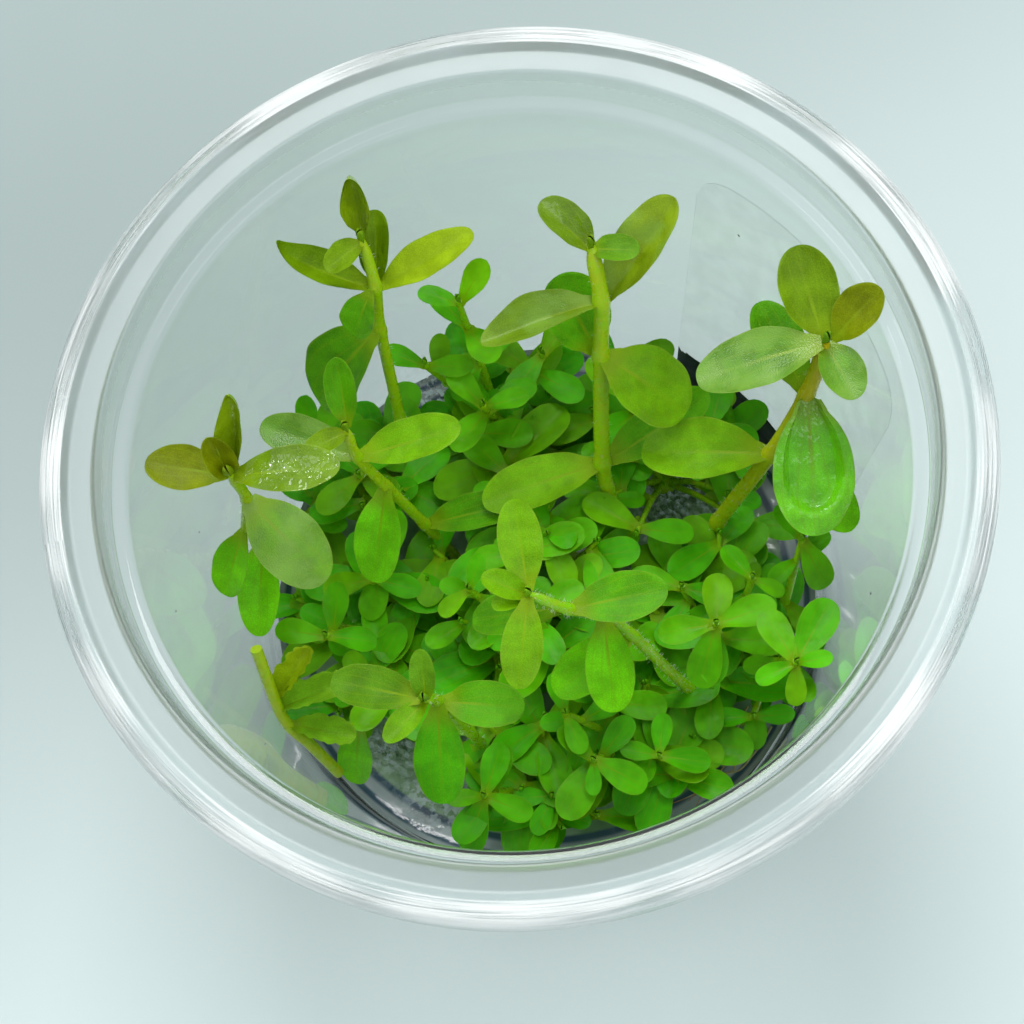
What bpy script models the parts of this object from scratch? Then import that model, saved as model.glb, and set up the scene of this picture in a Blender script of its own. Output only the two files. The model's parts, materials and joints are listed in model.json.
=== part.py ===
"""Lemon bacopa grown in a clear cup of gel: seven tall shoots and low clumps, all sizes in millimetres.

The cup stands on z = 0 and its axis is the Z axis. Headings are degrees from +X towards +Y, and a rise
is degrees above the horizontal.
"""
import math
from collections import namedtuple

import bmesh
import bpy
from mathutils import Matrix, Vector

MM = 0.001

# Cup. A pair is a radius and a height: the inside of the wall, the ledge and the flange from the floor up
CUP_HEIGHT = 68.0
RIM_RADIUS = 50.0
WALL = 0.9
FOOT_RADIUS = 34.0
FOOT_EDGE = (36.4, 0.8)
FLOOR_TOP = 0.9
FLOOR_EDGE = (35.4, 1.3)
WALL_LOW = (36.5, 2.4)
WALL_HIGH = (42.0, 62.0)
LEDGE_LIP = (42.3, 62.6)
LEDGE_BACK = (43.8, 62.9)
LEDGE_UNDER = 61.4
MOUTH_EDGE = (44.5, 67.4)
BEAD_INNER = 46.8
FLANGE_UNDER = 66.6
SKIRT_LOW = 63.2
EDGE_ROUNDING = 0.7
CUP_SIDES = 40

# Gel and label
GEL_TOP = 8.0
GAP = 0.3
ROOTED = 4.0
UPRIGHT_IN_GEL = 1.0
POCKET_TOP = 10.0
LABEL_LOW = 3.0
LABEL_HIGH = 57.0
LABEL_FIRST_SIDE = -1
LABEL_LAST_SIDE = 6
LABEL_THICKNESS = 0.25

# Leaves and stems
BLADE_ABOVE = 0.15
BLADE_BELOW = 0.45
BLADE_SHIFT = 1.1
BLADE_ROUNDNESS = 0.6
LEAF_FOOT = 0.26
LEAF_STATIONS = (0.0, 0.12, 0.42, 0.76, 0.95)
SMALL_STATIONS = (0.0, 0.35, 0.8)
LEAST_CURL = 1e-6
STEM_STEP = 9.0
STEM_SIDES = 6
LOW_STEM_SIDES = 5
LOW_STEM_RADIUS = 0.7
CROWN_RADIUS = 2.4
CROWN_TAPER = 0.6
CROWN_TOP = 10.0
STEM_IN_CROWN = 2.0
LOW_STEM_BOW = 1.0
LOW_LEAF_WIDTH = 0.62
OLDER_LEAF_RISE = 12
LEAF_INSET = 0.3
LEAF_CLEAR = 0.5
OLDER_LEAVES_FROM = 25
BUD_HEIGHT = 0.7
BUD_DEPTH = 0.4
STEM_THINNING = 0.15
SMOOTH_BELOW = 50

Leaf = namedtuple("Leaf", "name node heading rise length width curl fold")
Shoot = namedtuple("Shoot", "radius nodes leaves bud")


def leaf(name, node, heading, rise, length, width, curl=10, fold=12):
    """A leaf at a node of its stem. Its tip bends down by curl and its sides fold up by fold, in degrees."""
    return Leaf(name, node, heading, rise, length, width, curl, fold)


SHOOTS = {
    "back": Shoot(1.15, [(9, 3), (11, 6, 22), (11, 9, 29), (13, 16, 46), (14, 19, 54), (14, 23, 60)], [
        leaf("low_left", 2, -175, 4, 14.4, 7.0, curl=15),
        leaf("low_right", 2, 15, 12, 14.6, 6.5, curl=-15),
        leaf("round", 3, -44, -11, 10.9, 9.0, curl=30, fold=5),
        leaf("behind", 3, 111, 42, 9.5, 8.5),
        leaf("folded_left", 4, -177, 4, 12.9, 7.0, curl=30, fold=42),
        leaf("folded_right", 4, 30, 31, 13.7, 7.5, curl=-20, fold=40),
    ], [leaf("", 5, 131, 23, 7.6, 5.6, curl=-10, fold=40), leaf("", 5, -25, 18, 5.4, 3.6)]),
    "back_left": Shoot(0.85, [(-14, 20), (-13, 22, 28), (-12, 26, 46), (-11, 27, 55), (-11, 30, 61)], [
        leaf("broad", 2, -160, -30, 12.1, 9.3, curl=25),
        leaf("right", 3, 10, 15, 11.8, 5.0, curl=0),
        leaf("left", 3, 153, 9, 12.5, 4.8, curl=-45, fold=25),
        leaf("folded", 3, 72, 48, 8.0, 5.0, fold=45),
        leaf("drooping", 3, 222, -35, 5.6, 4.6, curl=25),
        leaf("hooked", 4, 84, 46, 7.2, 5.5, curl=-30, fold=50),
    ], [leaf("", 4, -161, -10, 5.0, 3.6)]),
    "left": Shoot(0.8, [
        (-28, 12), (-29, 10, 26), (-32, 8, 35), (-33, 7, 41), (-31, 7, 50), (-31, 7, 58),
    ], [
        leaf("hanging_near", 2, -108, -15, 11.5, 5.4, curl=15),
        leaf("hanging_far", 3, -132, -34, 8.6, 5.0, curl=20),
        leaf("silvery", 4, -57, -28, 12.6, 8.0, curl=20, fold=-8),
        leaf("wet", 5, -14, 15, 11.8, 5.2, curl=5, fold=30),
        leaf("bronze", 5, 160, 7, 8.2, 5.0, curl=0, fold=8),
        leaf("upright", 5, 62, 42, 10.5, 4.8, curl=-25, fold=45),
    ], [leaf("", 5, 110, 65, 6.0, 4.2, fold=40)]),
    "middle_left": Shoot(0.8, [(-9, 5), (-13, 8, 25), (-16, 10, 36), (-18, 11, 45), (-18, 12, 51)], [
        leaf("low_right", 1, -6, 19, 12.1, 5.2),
        leaf("down", 2, -114, -28, 11.3, 6.2, curl=15),
        leaf("right", 3, -1, 8, 11.8, 5.6, curl=-5),
        leaf("left", 3, 150, 11, 10.8, 5.6, curl=5),
        leaf("upright", 4, 81, 48, 8.1, 4.2, curl=-5, fold=30),
    ], [leaf("", 4, -163, 12, 5.2, 3.0)]),
    "middle": Shoot(0.8, [
        (21, -23), (15, -20, 20), (9, -15, 33), (6, -13, 38), (2, -13, 44), (-2, -12, 50),
    ], [
        leaf("low_left", 2, -160, -10, 10.5, 6.2, curl=15),
        leaf("low_down", 3, -97, -20, 10.6, 6.0, curl=20),
        leaf("right", 4, -3, 6, 10.3, 5.9, curl=5, fold=8),
        leaf("left", 4, 163, -30, 12.5, 5.6, curl=10),
        leaf("up", 5, 85, 18, 9.5, 5.2, curl=0),
        leaf("down", 5, -110, -12, 9.3, 4.9, curl=8),
    ], [leaf("", 5, 150, 30, 5.6, 3.4, fold=25), leaf("", 5, -175, 8, 4.0, 2.4, fold=20)]),
    "front_left": Shoot(0.75, [(-11, -21), (-13, -20, 25), (-15, -19, 40), (-16, -20, 46)], [
        leaf("down", 2, -103, -28, 11.5, 6.2, curl=15),
        leaf("right", 2, -18, 3, 8.8, 5.6, curl=8, fold=6),
        leaf("left", 3, 152, -12, 10.6, 5.4, curl=5),
    ], [leaf("", 3, 80, 42, 6.0, 3.2, fold=25), leaf("", 3, -145, 12, 6.2, 3.2, fold=20)]),
    "right": Shoot(1.1, [(20, -2), (24, 0, 22), (30, 1, 40), (34, 3, 51), (36, 5, 60)], [
        leaf("low_left", 2, 162, -2, 13.9, 8.0, curl=15, fold=15),
        leaf("low_right", 2, -52, -14, 12.0, 6.2, curl=15),
        leaf("front", 3, -98, -33, 14.8, 9.5, curl=10, fold=-6),
        leaf("behind", 3, 102, 16, 10.5, 5.8),
        leaf("left", 4, 178, -8, 13.1, 7.0, curl=15, fold=8),
        leaf("far_right", 4, 22, 48, 7.2, 5.2, fold=20),
        leaf("top", 4, 97, 30, 9.6, 6.8, curl=0, fold=10),
    ], [leaf("", 4, -78, 0, 6.8, 5.0)]),
}

# Each stem of a clump: the place of its top, then the heading, rise and length of the leaves there
CLUMPS = {
    "clump_front": ((-7, -26), [
        ((-13, -28, 24), ((-35, 0, 6.0), (174, 25, 4.5), (-125, -25, 7.7), (59, 9, 6.5))),
        ((-5, -29, 19), ((172, 13, 4.5), (-127, 0, 5.0), (10, 20, 4.0))),
        ((0, -32, 15), ((169, 0, 6.0), (-18, 0, 6.7))),
    ]),
    "clump_front_right": ((7, -24), [
        ((1, -27, 25), ((-38, -8, 7.2), (123, 13, 5.5), (-104, 0, 4.0))),
        ((9, -28, 23), ((156, 11, 4.6), (-20, 0, 6.1), (70, 10, 5.0))),
        ((-1, -21, 27), ((93, 20, 5.0), (-80, 0, 5.0))),
    ]),
    "clump_right": ((21, -15), [
        ((19, -16, 33), ((174, 0, 6.8), (5, 8, 7.3), (-120, -25, 8.0))),
        ((25, -11, 31), ((-38, 0, 4.0), (119, 13, 5.0))),
        ((17, -8, 24), ((150, 5, 6.5), (-30, 5, 6.0))),
    ]),
    "clump_far_right": ((27, -17), [
        ((26.5, -23.5, 36), ((-170, 0, 4.8), (106, 8, 7.0), (46, 6, 8.5), (-10, 30, 4.2), (-104, -15, 4.8))),
        ((32, -8, 32), ((110, 10, 5.0), (-71, -30, 7.3))),
        ((22, -25, 18), ((170, 10, 5.0), (-10, 10, 5.0))),
    ]),
    "clump_left": ((-25, 1), [
        ((-28, -4, 26), ((159, 9, 6.4), (-15, -15, 6.2))),
        ((-21, 3, 23), ((178, 0, 6.6), (-28, 0, 6.0))),
        ((-24, -10, 20), ((-60, 5, 6.5), (120, 5, 5.5))),
    ]),
    "clump_centre": ((-5, -4), [
        ((-9, -4, 31), ((56, 30, 4.5), (-154, 0, 4.5))),
        ((-2, -8, 27), ((20, 5, 7.0), (-160, 5, 6.5))),
        ((2, 2, 26), ((100, 10, 7.0), (-80, 0, 7.0))),
    ]),
    "clump_back": ((0, 24), [
        ((-2, 28, 44), ((30, 45, 6.5), (152, 20, 5.0))),
        ((-2, 19, 32), ((120, 18, 6.3), (-1, 11, 5.6))),
        ((7, 26, 28), ((40, 10, 8.0), (-140, 5, 7.0))),
        ((-8, 26, 33), ((150, 20, 5.7), (-20, 15, 6.0))),
    ]),
    "clump_back_left": ((-19, 22), [
        ((-25, 22, 30), ((160, 9, 5.2), (68, 60, 5.5))),
        ((-20, 17, 24), ((-150, 5, 7.0), (30, 5, 6.0))),
    ]),
    "clump_back_right": ((20, 12), [
        ((17, 17, 27), ((120, 10, 8.0), (-60, 5, 7.5))),
        ((26, 12, 24), ((60, 5, 7.0), (-120, 5, 7.0))),
    ]),
}

FALLEN_STEM = [(-30, -21, 24), (-32, -18, 30), (-34, -15, 34), (-34, -9, 44)]
FALLEN_LEAVES = [
    leaf("", 2, 13, 8, 6.9, 4.0, fold=30),
    leaf("", 2, 60, 44, 6.5, 3.6, fold=30),
    leaf("", 1, -50, -26, 9.0, 4.2),
]

LEAF_GREEN = (0.19, 0.42, 0.03)
YOUNG_GREEN = (0.24, 0.36, 0.03)
STEM_GREEN = (0.30, 0.33, 0.02)
CLUMP_GREEN = (0.10, 0.36, 0.03)


def material(name, colour, roughness, alpha=1.0):
    """A plain finish for one piece."""
    made = bpy.data.materials.new(name)
    made.use_nodes = True
    shader = made.node_tree.nodes["Principled BSDF"]
    shader.inputs["Base Color"].default_value = (*colour, 1.0)
    shader.inputs["Roughness"].default_value = roughness
    shader.inputs["Metallic"].default_value = 0.0
    shader.inputs["Alpha"].default_value = alpha
    return made


def add_object(name, mesh_data, finish):
    """The mesh, given in millimetres, as a named object in metres."""
    bmesh.ops.recalc_face_normals(mesh_data, faces=mesh_data.faces)
    bmesh.ops.scale(mesh_data, vec=(MM, MM, MM), verts=mesh_data.verts)
    mesh = bpy.data.meshes.new(name)
    mesh_data.to_mesh(mesh)
    mesh_data.free()
    mesh.shade_smooth()
    mesh.set_sharp_from_angle(angle=math.radians(SMOOTH_BELOW))
    mesh.materials.append(finish)
    made = bpy.data.objects.new(name, mesh)
    bpy.context.scene.collection.objects.link(made)
    return made


def join_rings(mesh_data, rings):
    """Faces between each ring of points and the next."""
    for lower, upper in zip(rings, rings[1:]):
        count = len(lower)
        for i in range(count):
            j = (i + 1) % count
            mesh_data.faces.new((lower[i], lower[j], upper[j], upper[i]))


def turned(profile, sides):
    """A closed body from a profile of radius and height that starts and ends on the axis."""
    mesh_data = bmesh.new()
    first = mesh_data.verts.new((0, 0, profile[0][1]))
    last = mesh_data.verts.new((0, 0, profile[-1][1]))
    rings = []
    for radius, height in profile[1:-1]:
        angles = [math.tau * i / sides for i in range(sides)]
        points = [(radius * math.cos(a), radius * math.sin(a), height) for a in angles]
        rings.append([mesh_data.verts.new(point) for point in points])
    for i in range(sides):
        j = (i + 1) % sides
        mesh_data.faces.new((first, rings[0][j], rings[0][i]))
        mesh_data.faces.new((last, rings[-1][i], rings[-1][j]))
    join_rings(mesh_data, rings)
    return mesh_data


def wall_radius(height):
    """Radius of the cup's inner wall at a height."""
    along = (height - WALL_LOW[1]) / (WALL_HIGH[1] - WALL_LOW[1])
    return WALL_LOW[0] + (WALL_HIGH[0] - WALL_LOW[0]) * along


def make_cup():
    """One thin shell: flat foot, tapered wall, a ledge for a lid, a flat flange and a turned-down edge."""
    profile = [
        (0, 0),
        (FOOT_RADIUS, 0),
        FOOT_EDGE,
        (WALL_LOW[0] + WALL, WALL_LOW[1]),
        (WALL_HIGH[0] + WALL, LEDGE_UNDER),
        (LEDGE_BACK[0] + WALL, WALL_HIGH[1]),
        (MOUTH_EDGE[0] + WALL, FLANGE_UNDER),
        (RIM_RADIUS - WALL - EDGE_ROUNDING, FLANGE_UNDER),
        (RIM_RADIUS - WALL, SKIRT_LOW),
        (RIM_RADIUS, SKIRT_LOW),
        (RIM_RADIUS, CUP_HEIGHT - EDGE_ROUNDING),
        (RIM_RADIUS - EDGE_ROUNDING, CUP_HEIGHT),
        (BEAD_INNER + EDGE_ROUNDING, CUP_HEIGHT),
        (BEAD_INNER, MOUTH_EDGE[1]),
        MOUTH_EDGE,
        LEDGE_BACK,
        LEDGE_LIP,
        WALL_HIGH,
        WALL_LOW,
        FLOOR_EDGE,
        (FOOT_RADIUS, FLOOR_TOP),
        (0, FLOOR_TOP),
    ]
    finish = material("clear plastic", (0.80, 0.88, 0.87), 0.1, alpha=0.35)
    return add_object("cup", turned(profile, CUP_SIDES), finish)


def pocket(place, radius, sides):
    """A cutter for the hole that a stem stands in."""
    route = [Vector((*place, ROOTED - GAP)), Vector((*place, POCKET_TOP))]
    cutter = add_object("pocket", tube(route, [radius + GAP] * 2, sides), material("cutter", (1, 0, 0), 0.5))
    cutter.hide_render = True
    cutter.display_type = "WIRE"
    return cutter


def make_gel():
    """The disc of gel, with a blind hole for each stem and each crown."""
    low = FLOOR_TOP + GAP
    profile = [
        (0, low),
        (FOOT_RADIUS - GAP, low),
        (wall_radius(WALL_LOW[1]) - GAP, WALL_LOW[1] + GAP),
        (wall_radius(GEL_TOP) - GAP, GEL_TOP),
        (0, GEL_TOP),
    ]
    gel = add_object("gel", turned(profile, CUP_SIDES), material("dark gel", (0.09, 0.12, 0.12), 0.15))
    places = [(shoot.nodes[0], shoot.radius, STEM_SIDES) for shoot in SHOOTS.values()]
    places += [(base, CROWN_RADIUS, LOW_STEM_SIDES) for base, _ in CLUMPS.values()]
    for place, radius, sides in places:
        cut = gel.modifiers.new("pocket", "BOOLEAN")
        cut.operation = "DIFFERENCE"
        cut.object = pocket(place, radius, sides)
    return gel


def make_label():
    """A thin sheet that follows the flats of the wall's outside."""
    mesh_data = bmesh.new()
    columns = []
    for side in range(LABEL_FIRST_SIDE, LABEL_LAST_SIDE + 1):
        angle = math.tau * side / CUP_SIDES
        column = []
        for height, lift in ((LABEL_LOW, 0), (LABEL_LOW, 1), (LABEL_HIGH, 1), (LABEL_HIGH, 0)):
            radius = wall_radius(height) + WALL + GAP + lift * LABEL_THICKNESS
            column.append(mesh_data.verts.new((radius * math.cos(angle), radius * math.sin(angle), height)))
        columns.append(column)
    join_rings(mesh_data, columns)
    mesh_data.faces.new(columns[0])
    mesh_data.faces.new(columns[-1])
    return add_object("label", mesh_data, material("label film", (0.75, 0.80, 0.78), 0.5))


def smooth_route(points, step):
    """Points about a step apart on a smooth curve through the given ones."""
    points = [Vector(p) for p in points]
    padded = [2 * points[0] - points[1], *points, 2 * points[-1] - points[-2]]
    route = [points[0]]
    for a, b, c, d in zip(padded, padded[1:], padded[2:], padded[3:]):
        pieces = max(1, round((c - b).length / step))
        for i in range(1, pieces + 1):
            t = i / pieces
            route.append(0.5 * (2 * b + (c - a) * t + (2 * a - 5 * b + 4 * c - d) * t * t
                                + (3 * b - a - 3 * c + d) * t ** 3))
    return route


def tube(route, radii, sides):
    """A closed tube along a route, with a radius at each of its points."""
    mesh_data = bmesh.new()
    rings = []
    side = Vector((1, 0, 0))
    for i, (point, radius) in enumerate(zip(route, radii)):
        along = (route[min(i + 1, len(route) - 1)] - route[max(i - 1, 0)]).normalized()
        side = (side - along * side.dot(along)).normalized()
        other = along.cross(side)
        angles = [math.tau * (j + 0.5) / sides for j in range(sides)]
        rings.append([mesh_data.verts.new(point + radius * (math.cos(a) * side + math.sin(a) * other))
                      for a in angles])
    join_rings(mesh_data, rings)
    mesh_data.faces.new(rings[0])
    mesh_data.faces.new(rings[-1])
    return mesh_data


def stem_mesh(nodes, radius, sides, step):
    """A stem that thins a little towards its tip."""
    route = smooth_route(nodes, step)
    radii = [radius * (1.0 - STEM_THINNING * i / (len(route) - 1)) for i in range(len(route))]
    return tube(route, radii, sides)


def half_width(t):
    """Half the width of a leaf one wide, at t of its length: a narrow foot, a broad middle, a round tip."""
    blade = max(math.sin(math.pi * t ** BLADE_SHIFT), 0.0) ** BLADE_ROUNDNESS
    return 0.5 * max(blade, LEAF_FOOT * (1.0 - t))


def leaf_axes(heading, rise):
    """Turns a leaf that points along +X with its face up to its heading and rise."""
    return Matrix.Rotation(math.radians(heading), 3, "Z") @ Matrix.Rotation(-math.radians(rise), 3, "Y")


def leaf_point(shape, foot, t, across, above):
    """The place at t of the length, across to one side and above the blade."""
    bend = math.radians(shape.curl) or LEAST_CURL
    fold = math.radians(shape.fold)
    x = shape.length * math.sin(bend * t) / bend
    z = -shape.length * (1 - math.cos(bend * t)) / bend
    lift = above + abs(across) * math.sin(fold)
    local = Vector((x + lift * math.sin(bend * t), across * math.cos(fold), z + lift * math.cos(bend * t)))
    return foot + leaf_axes(shape.heading, shape.rise) @ local


def leaf_mesh(shape, foot, stations):
    """A leaf blade: thin at its edges, thicker along its middle, one point at its tip."""
    mesh_data = bmesh.new()
    rings = []
    for t in stations:
        side = half_width(t) * shape.width
        section = ((-side, 0), (0, -BLADE_BELOW), (side, 0), (0, BLADE_ABOVE))
        rings.append([mesh_data.verts.new(leaf_point(shape, foot, t, *s)) for s in section])
    join_rings(mesh_data, rings)
    mesh_data.faces.new(rings[0])
    tip = mesh_data.verts.new(leaf_point(shape, foot, 1.0, 0, 0))
    for i in range(4):
        mesh_data.faces.new((rings[-1][i], rings[-1][(i + 1) % 4], tip))
    return mesh_data


def fused(name, meshes, finish):
    """One body from shapes that run into each other."""
    base = add_object(name, meshes[0], finish)
    spare = [add_object("part", shape, finish) for shape in meshes[1:]]
    for part in spare:
        join = base.modifiers.new("join", "BOOLEAN")
        join.operation = "UNION"
        join.object = part
    whole = bpy.data.meshes.new_from_object(base.evaluated_get(bpy.context.evaluated_depsgraph_get()))
    base.modifiers.clear()
    base.data = whole
    for part in spare:
        bpy.data.objects.remove(part)
    return base


def beside(node, shape, distance):
    """The foot of a leaf: a distance out from the middle of its node."""
    heading = math.radians(shape.heading)
    return node + Vector((math.cos(heading), math.sin(heading), 0)) * distance


def make_shoot(name, shoot):
    """A rooted stem with its young tip, and a separate blade for each large leaf."""
    rooted = (*shoot.nodes[0], ROOTED)
    surface = (*shoot.nodes[0], GEL_TOP + UPRIGHT_IN_GEL)
    nodes = [rooted, surface, *shoot.nodes[1:]]
    tip = Vector(nodes[-1]) - Vector((0, 0, BUD_DEPTH))
    young = [leaf_mesh(shape, beside(tip, shape, LEAF_INSET), SMALL_STATIONS) for shape in shoot.bud]
    stem = stem_mesh(nodes, shoot.radius, STEM_SIDES, STEM_STEP)
    fused(f"stem_{name}", [stem, *young], material(f"stem {name}", STEM_GREEN, 0.4))
    for shape in shoot.leaves:
        foot = beside(Vector(shoot.nodes[shape.node]), shape, shoot.radius + LEAF_CLEAR)
        blade = leaf_mesh(shape, foot, LEAF_STATIONS)
        finish = material(f"leaf {name} {shape.name}", LEAF_GREEN, 0.35)
        add_object(f"leaf_{name}_{shape.name}", blade, finish)


def make_clump(name, base, stems):
    """Short leafy stems from one crown in the gel. The taller ones have an older pair of leaves half way."""
    crown_route = [Vector((*base, ROOTED)), Vector((*base, CROWN_TOP))]
    shapes = [tube(crown_route, [CROWN_RADIUS, CROWN_RADIUS * CROWN_TAPER], LOW_STEM_SIDES)]
    for top, leaves in stems:
        half_way = Vector((*base, CROWN_TOP)).lerp(Vector(top), 0.5) + Vector((0, 0, LOW_STEM_BOW))
        route = [(*base, CROWN_TOP - STEM_IN_CROWN), half_way, top, Vector(top) + Vector((0, 0, BUD_HEIGHT))]
        shapes.append(stem_mesh(route, LOW_STEM_RADIUS, LOW_STEM_SIDES, STEM_STEP * 2))
        first_heading, _, first_length = leaves[0]
        sides = (90, 270) if top[2] >= OLDER_LEAVES_FROM else ()
        older = [(half_way, first_heading + side, OLDER_LEAF_RISE, first_length) for side in sides]
        for node, heading, rise, length in [(Vector(top), *young) for young in leaves] + older:
            shape = leaf("", 0, heading, rise, length, length * LOW_LEAF_WIDTH)
            shapes.append(leaf_mesh(shape, beside(node, shape, LEAF_INSET), SMALL_STATIONS))
    return fused(name, shapes, material(name, CLUMP_GREEN, 0.4))


def make_fallen_shoot():
    """The cut shoot that leans on the wall at the left front."""
    stem = stem_mesh(FALLEN_STEM, LOW_STEM_RADIUS, LOW_STEM_SIDES, STEM_STEP)
    blades = [leaf_mesh(shape, Vector(FALLEN_STEM[shape.node]), SMALL_STATIONS) for shape in FALLEN_LEAVES]
    return fused("fallen_shoot", [stem, *blades], material("fallen shoot", YOUNG_GREEN, 0.4))


def main():
    """Builds every piece."""
    for old in list(bpy.data.objects):
        bpy.data.objects.remove(old)
    make_cup()
    make_gel()
    make_label()
    for name, shoot in SHOOTS.items():
        make_shoot(name, shoot)
    for name, (base, stems) in CLUMPS.items():
        make_clump(name, base, stems)
    make_fallen_shoot()


main()
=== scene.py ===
"""Lemon bacopa in its cup of gel: the finish of every piece, with fine leaves, stems, gel and cup.

Sizes are millimetres until a mesh is made. The cup stands on z = 0 and its axis is the Z axis. Headings are
degrees from +X towards +Y, and a rise is degrees above the horizontal.
"""
import json
import math
import random
from collections import namedtuple

import bpy
import numpy as np
from mathutils import Matrix, Vector

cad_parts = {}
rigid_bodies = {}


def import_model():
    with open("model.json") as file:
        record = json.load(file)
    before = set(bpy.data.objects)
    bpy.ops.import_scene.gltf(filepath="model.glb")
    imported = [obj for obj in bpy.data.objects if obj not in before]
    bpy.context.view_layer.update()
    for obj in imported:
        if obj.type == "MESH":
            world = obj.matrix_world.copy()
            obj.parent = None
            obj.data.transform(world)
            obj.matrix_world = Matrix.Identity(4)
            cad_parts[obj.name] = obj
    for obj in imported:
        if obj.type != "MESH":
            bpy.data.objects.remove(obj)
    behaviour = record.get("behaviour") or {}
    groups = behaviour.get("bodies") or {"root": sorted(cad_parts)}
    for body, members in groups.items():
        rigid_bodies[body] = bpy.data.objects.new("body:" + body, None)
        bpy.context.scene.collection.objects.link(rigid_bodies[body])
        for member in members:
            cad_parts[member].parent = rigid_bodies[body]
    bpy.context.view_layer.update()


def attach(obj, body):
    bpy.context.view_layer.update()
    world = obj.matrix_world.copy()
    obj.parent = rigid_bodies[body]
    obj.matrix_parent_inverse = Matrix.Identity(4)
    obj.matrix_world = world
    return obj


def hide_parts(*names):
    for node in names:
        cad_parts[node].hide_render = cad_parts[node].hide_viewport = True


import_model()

MM = 0.001

# Edges sharper than this, in degrees, stay sharp in the shading
SHARP_FROM = 55.0

# Camera: the photograph's view, with its focal length in pixels of a picture 1024 wide
PICTURE_WIDTH = 1024
FOCAL_PIXELS = 1689.5
SENSOR_WIDTH = 36.0
CAMERA_PLACE = (-1.64, -66.28, 230.31)
CAMERA_PITCH = 70.41
CAMERA_ROLL = -13.45

# Cup. A pair is a radius and a height: the inside of the wall, the ledge and the flange from the floor up
CUP_HEIGHT = 68.0
RIM_RADIUS = 50.0
WALL = 0.6
FOOT_RADIUS = 34.0
FOOT_EDGE = (36.4, 0.8)
FLOOR_TOP = 0.9
FLOOR_EDGE = (35.4, 1.3)
WALL_LOW = (36.5, 2.4)
WALL_HIGH = (42.0, 62.0)
LEDGE_LIP = (42.3, 62.6)
LEDGE_BACK = (43.5, 62.9)
LEDGE_UNDER = 61.4
MOUTH_EDGE = (44.0, 67.4)
BEAD_INNER = 46.8
FLANGE_UNDER = 66.6
SKIRT_LOW = 63.2
EDGE_ROUNDING = 0.7
CUP_SIDES = 288
FROST_FROM = 47.4
MILKY_FROM = 59.0
SATIN_FROM = 63.5
FILLET = 0.35
FILLET_STEPS = 4

# Crumbs on the wall: heading, height and length
WALL_SPECKS = [
    (-173, 52, 0.55), (-5, 22, 0.5), (-150, 44, 0.35), (168, 40, 0.3), (38, 50, 0.4), (-30, 47, 0.35),
]
SPECK_RADIUS = 0.09

# Gel, the clear gap round it, and how deep the stems stand in it
GEL_TOP = 8.0
GAP = 0.3
ROOTED = 4.0
UPRIGHT_IN_GEL = 1.0
GEL_SAG = 0.35
MENISCUS = 0.9
MENISCUS_WIDTH = 0.9
GEL_RINGS = 110
GEL_SECTORS = 300

# Broken lumps of the gel: place, radius and height
GEL_LUMPS = [
    ((21.2, 10.8), 6.0, 1.1),
    ((-24.8, -15.4), 3.0, 0.8),
    ((-19.5, -22.9), 3.8, 0.7),
    ((-8.7, 33.0), 3.5, 0.5),
]

# Label: headings of its sides, its heights, and where its dark block starts and ends
LABEL_FROM = -5.0
LABEL_TO = 47.0
LABEL_LOW = 3.2
LABEL_HIGH = 56.6
LABEL_CORNER = 4.0
LABEL_THICKNESS = 0.05
LABEL_GRID = (60, 100)
BLOCK_FROM = 16.0
BLOCK_HIGH = 14.5

# Leaves and stems
BLADE_SHIFT = 1.02
BLADE_ROUNDNESS = 0.43
LOW_LEAF_SHIFT = 1.5
LEAF_FOOT = 0.40
NECK_TAPER = 4.0
LEAST_CURL = 1e-6
BLADE_EDGE = 0.07
BLADE_MIDDLE = 0.22
RIB_DEPTH = 0.22
RIB_WIDTH = 0.13
GROOVE = 0.10
POINTED = 7.0
VALLEY = 0.35
WAVES = (0.07, 0.03)
LEAN = 0.10
STEM_STEP = 0.7
STEM_SIDES = 18
STEM_THINNING = 0.15
TIP_SHARE = 0.4
TIP_TAPER = 3.0
STEM_SLIMMING = 0.94
NODE_SWELLING = 0.22
NODE_REACH = 0.9
LOW_STEM_STEP = 1.4
LOW_STEM_SIDES = 9
LOW_STEM_RADIUS = 0.62
LOW_STEM_THINNING = 0.35
CROWN_RADII = (2.0, 1.8, 1.0)
CROWN_TOP = 10.0
STEM_IN_CROWN = 2.0
LOW_STEM_BOW = 1.0
LOW_LEAF_WIDTH = 0.54
LEAF_CLEAR = 0.5
LEAF_INSET = 0.3
BUD_DEPTH = 0.4
BUD_HEIGHT = 0.7
APEX_LIFT = 0.1
TOP_LEAVES = 0.97

# Points along and across a leaf of each kind
LARGE_GRID = (44, 27)
FALLEN_GRID = (26, 15)
BUD_GRID = (22, 13)
LOW_GRID = (12, 9)
APEX_GRID = (7, 7)

# Hairs of the tall stems, and the finish of a young leaf in its stem's list
STEM_HAIRS = {"middle": 700, "right": 260, "back": 160, "left": 120, "front_left": 120}
FEWEST_HAIRS = 60
HAIR_LENGTH = 0.55
HAIR_RADII = (0.022, 0.016, 0.006)
BUD_FINISHES = {"": 1, "wet": 3, "silky": 4}

# Root threads that lie on the gel: the headings where they start and end, and how far out they lie
CLUMPS_WITH_ROOTS = ("clump_front_right", "clump_far_right")
ROOT_COUNT = 8
ROOT_BENDS = 6
ROOTS_START = (-50, -43)
ROOTS_END = (-74, -60)
ROOTS_OUT = (29.5, 35.0)
ROOT_RADII = (0.16, 0.06)

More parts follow.
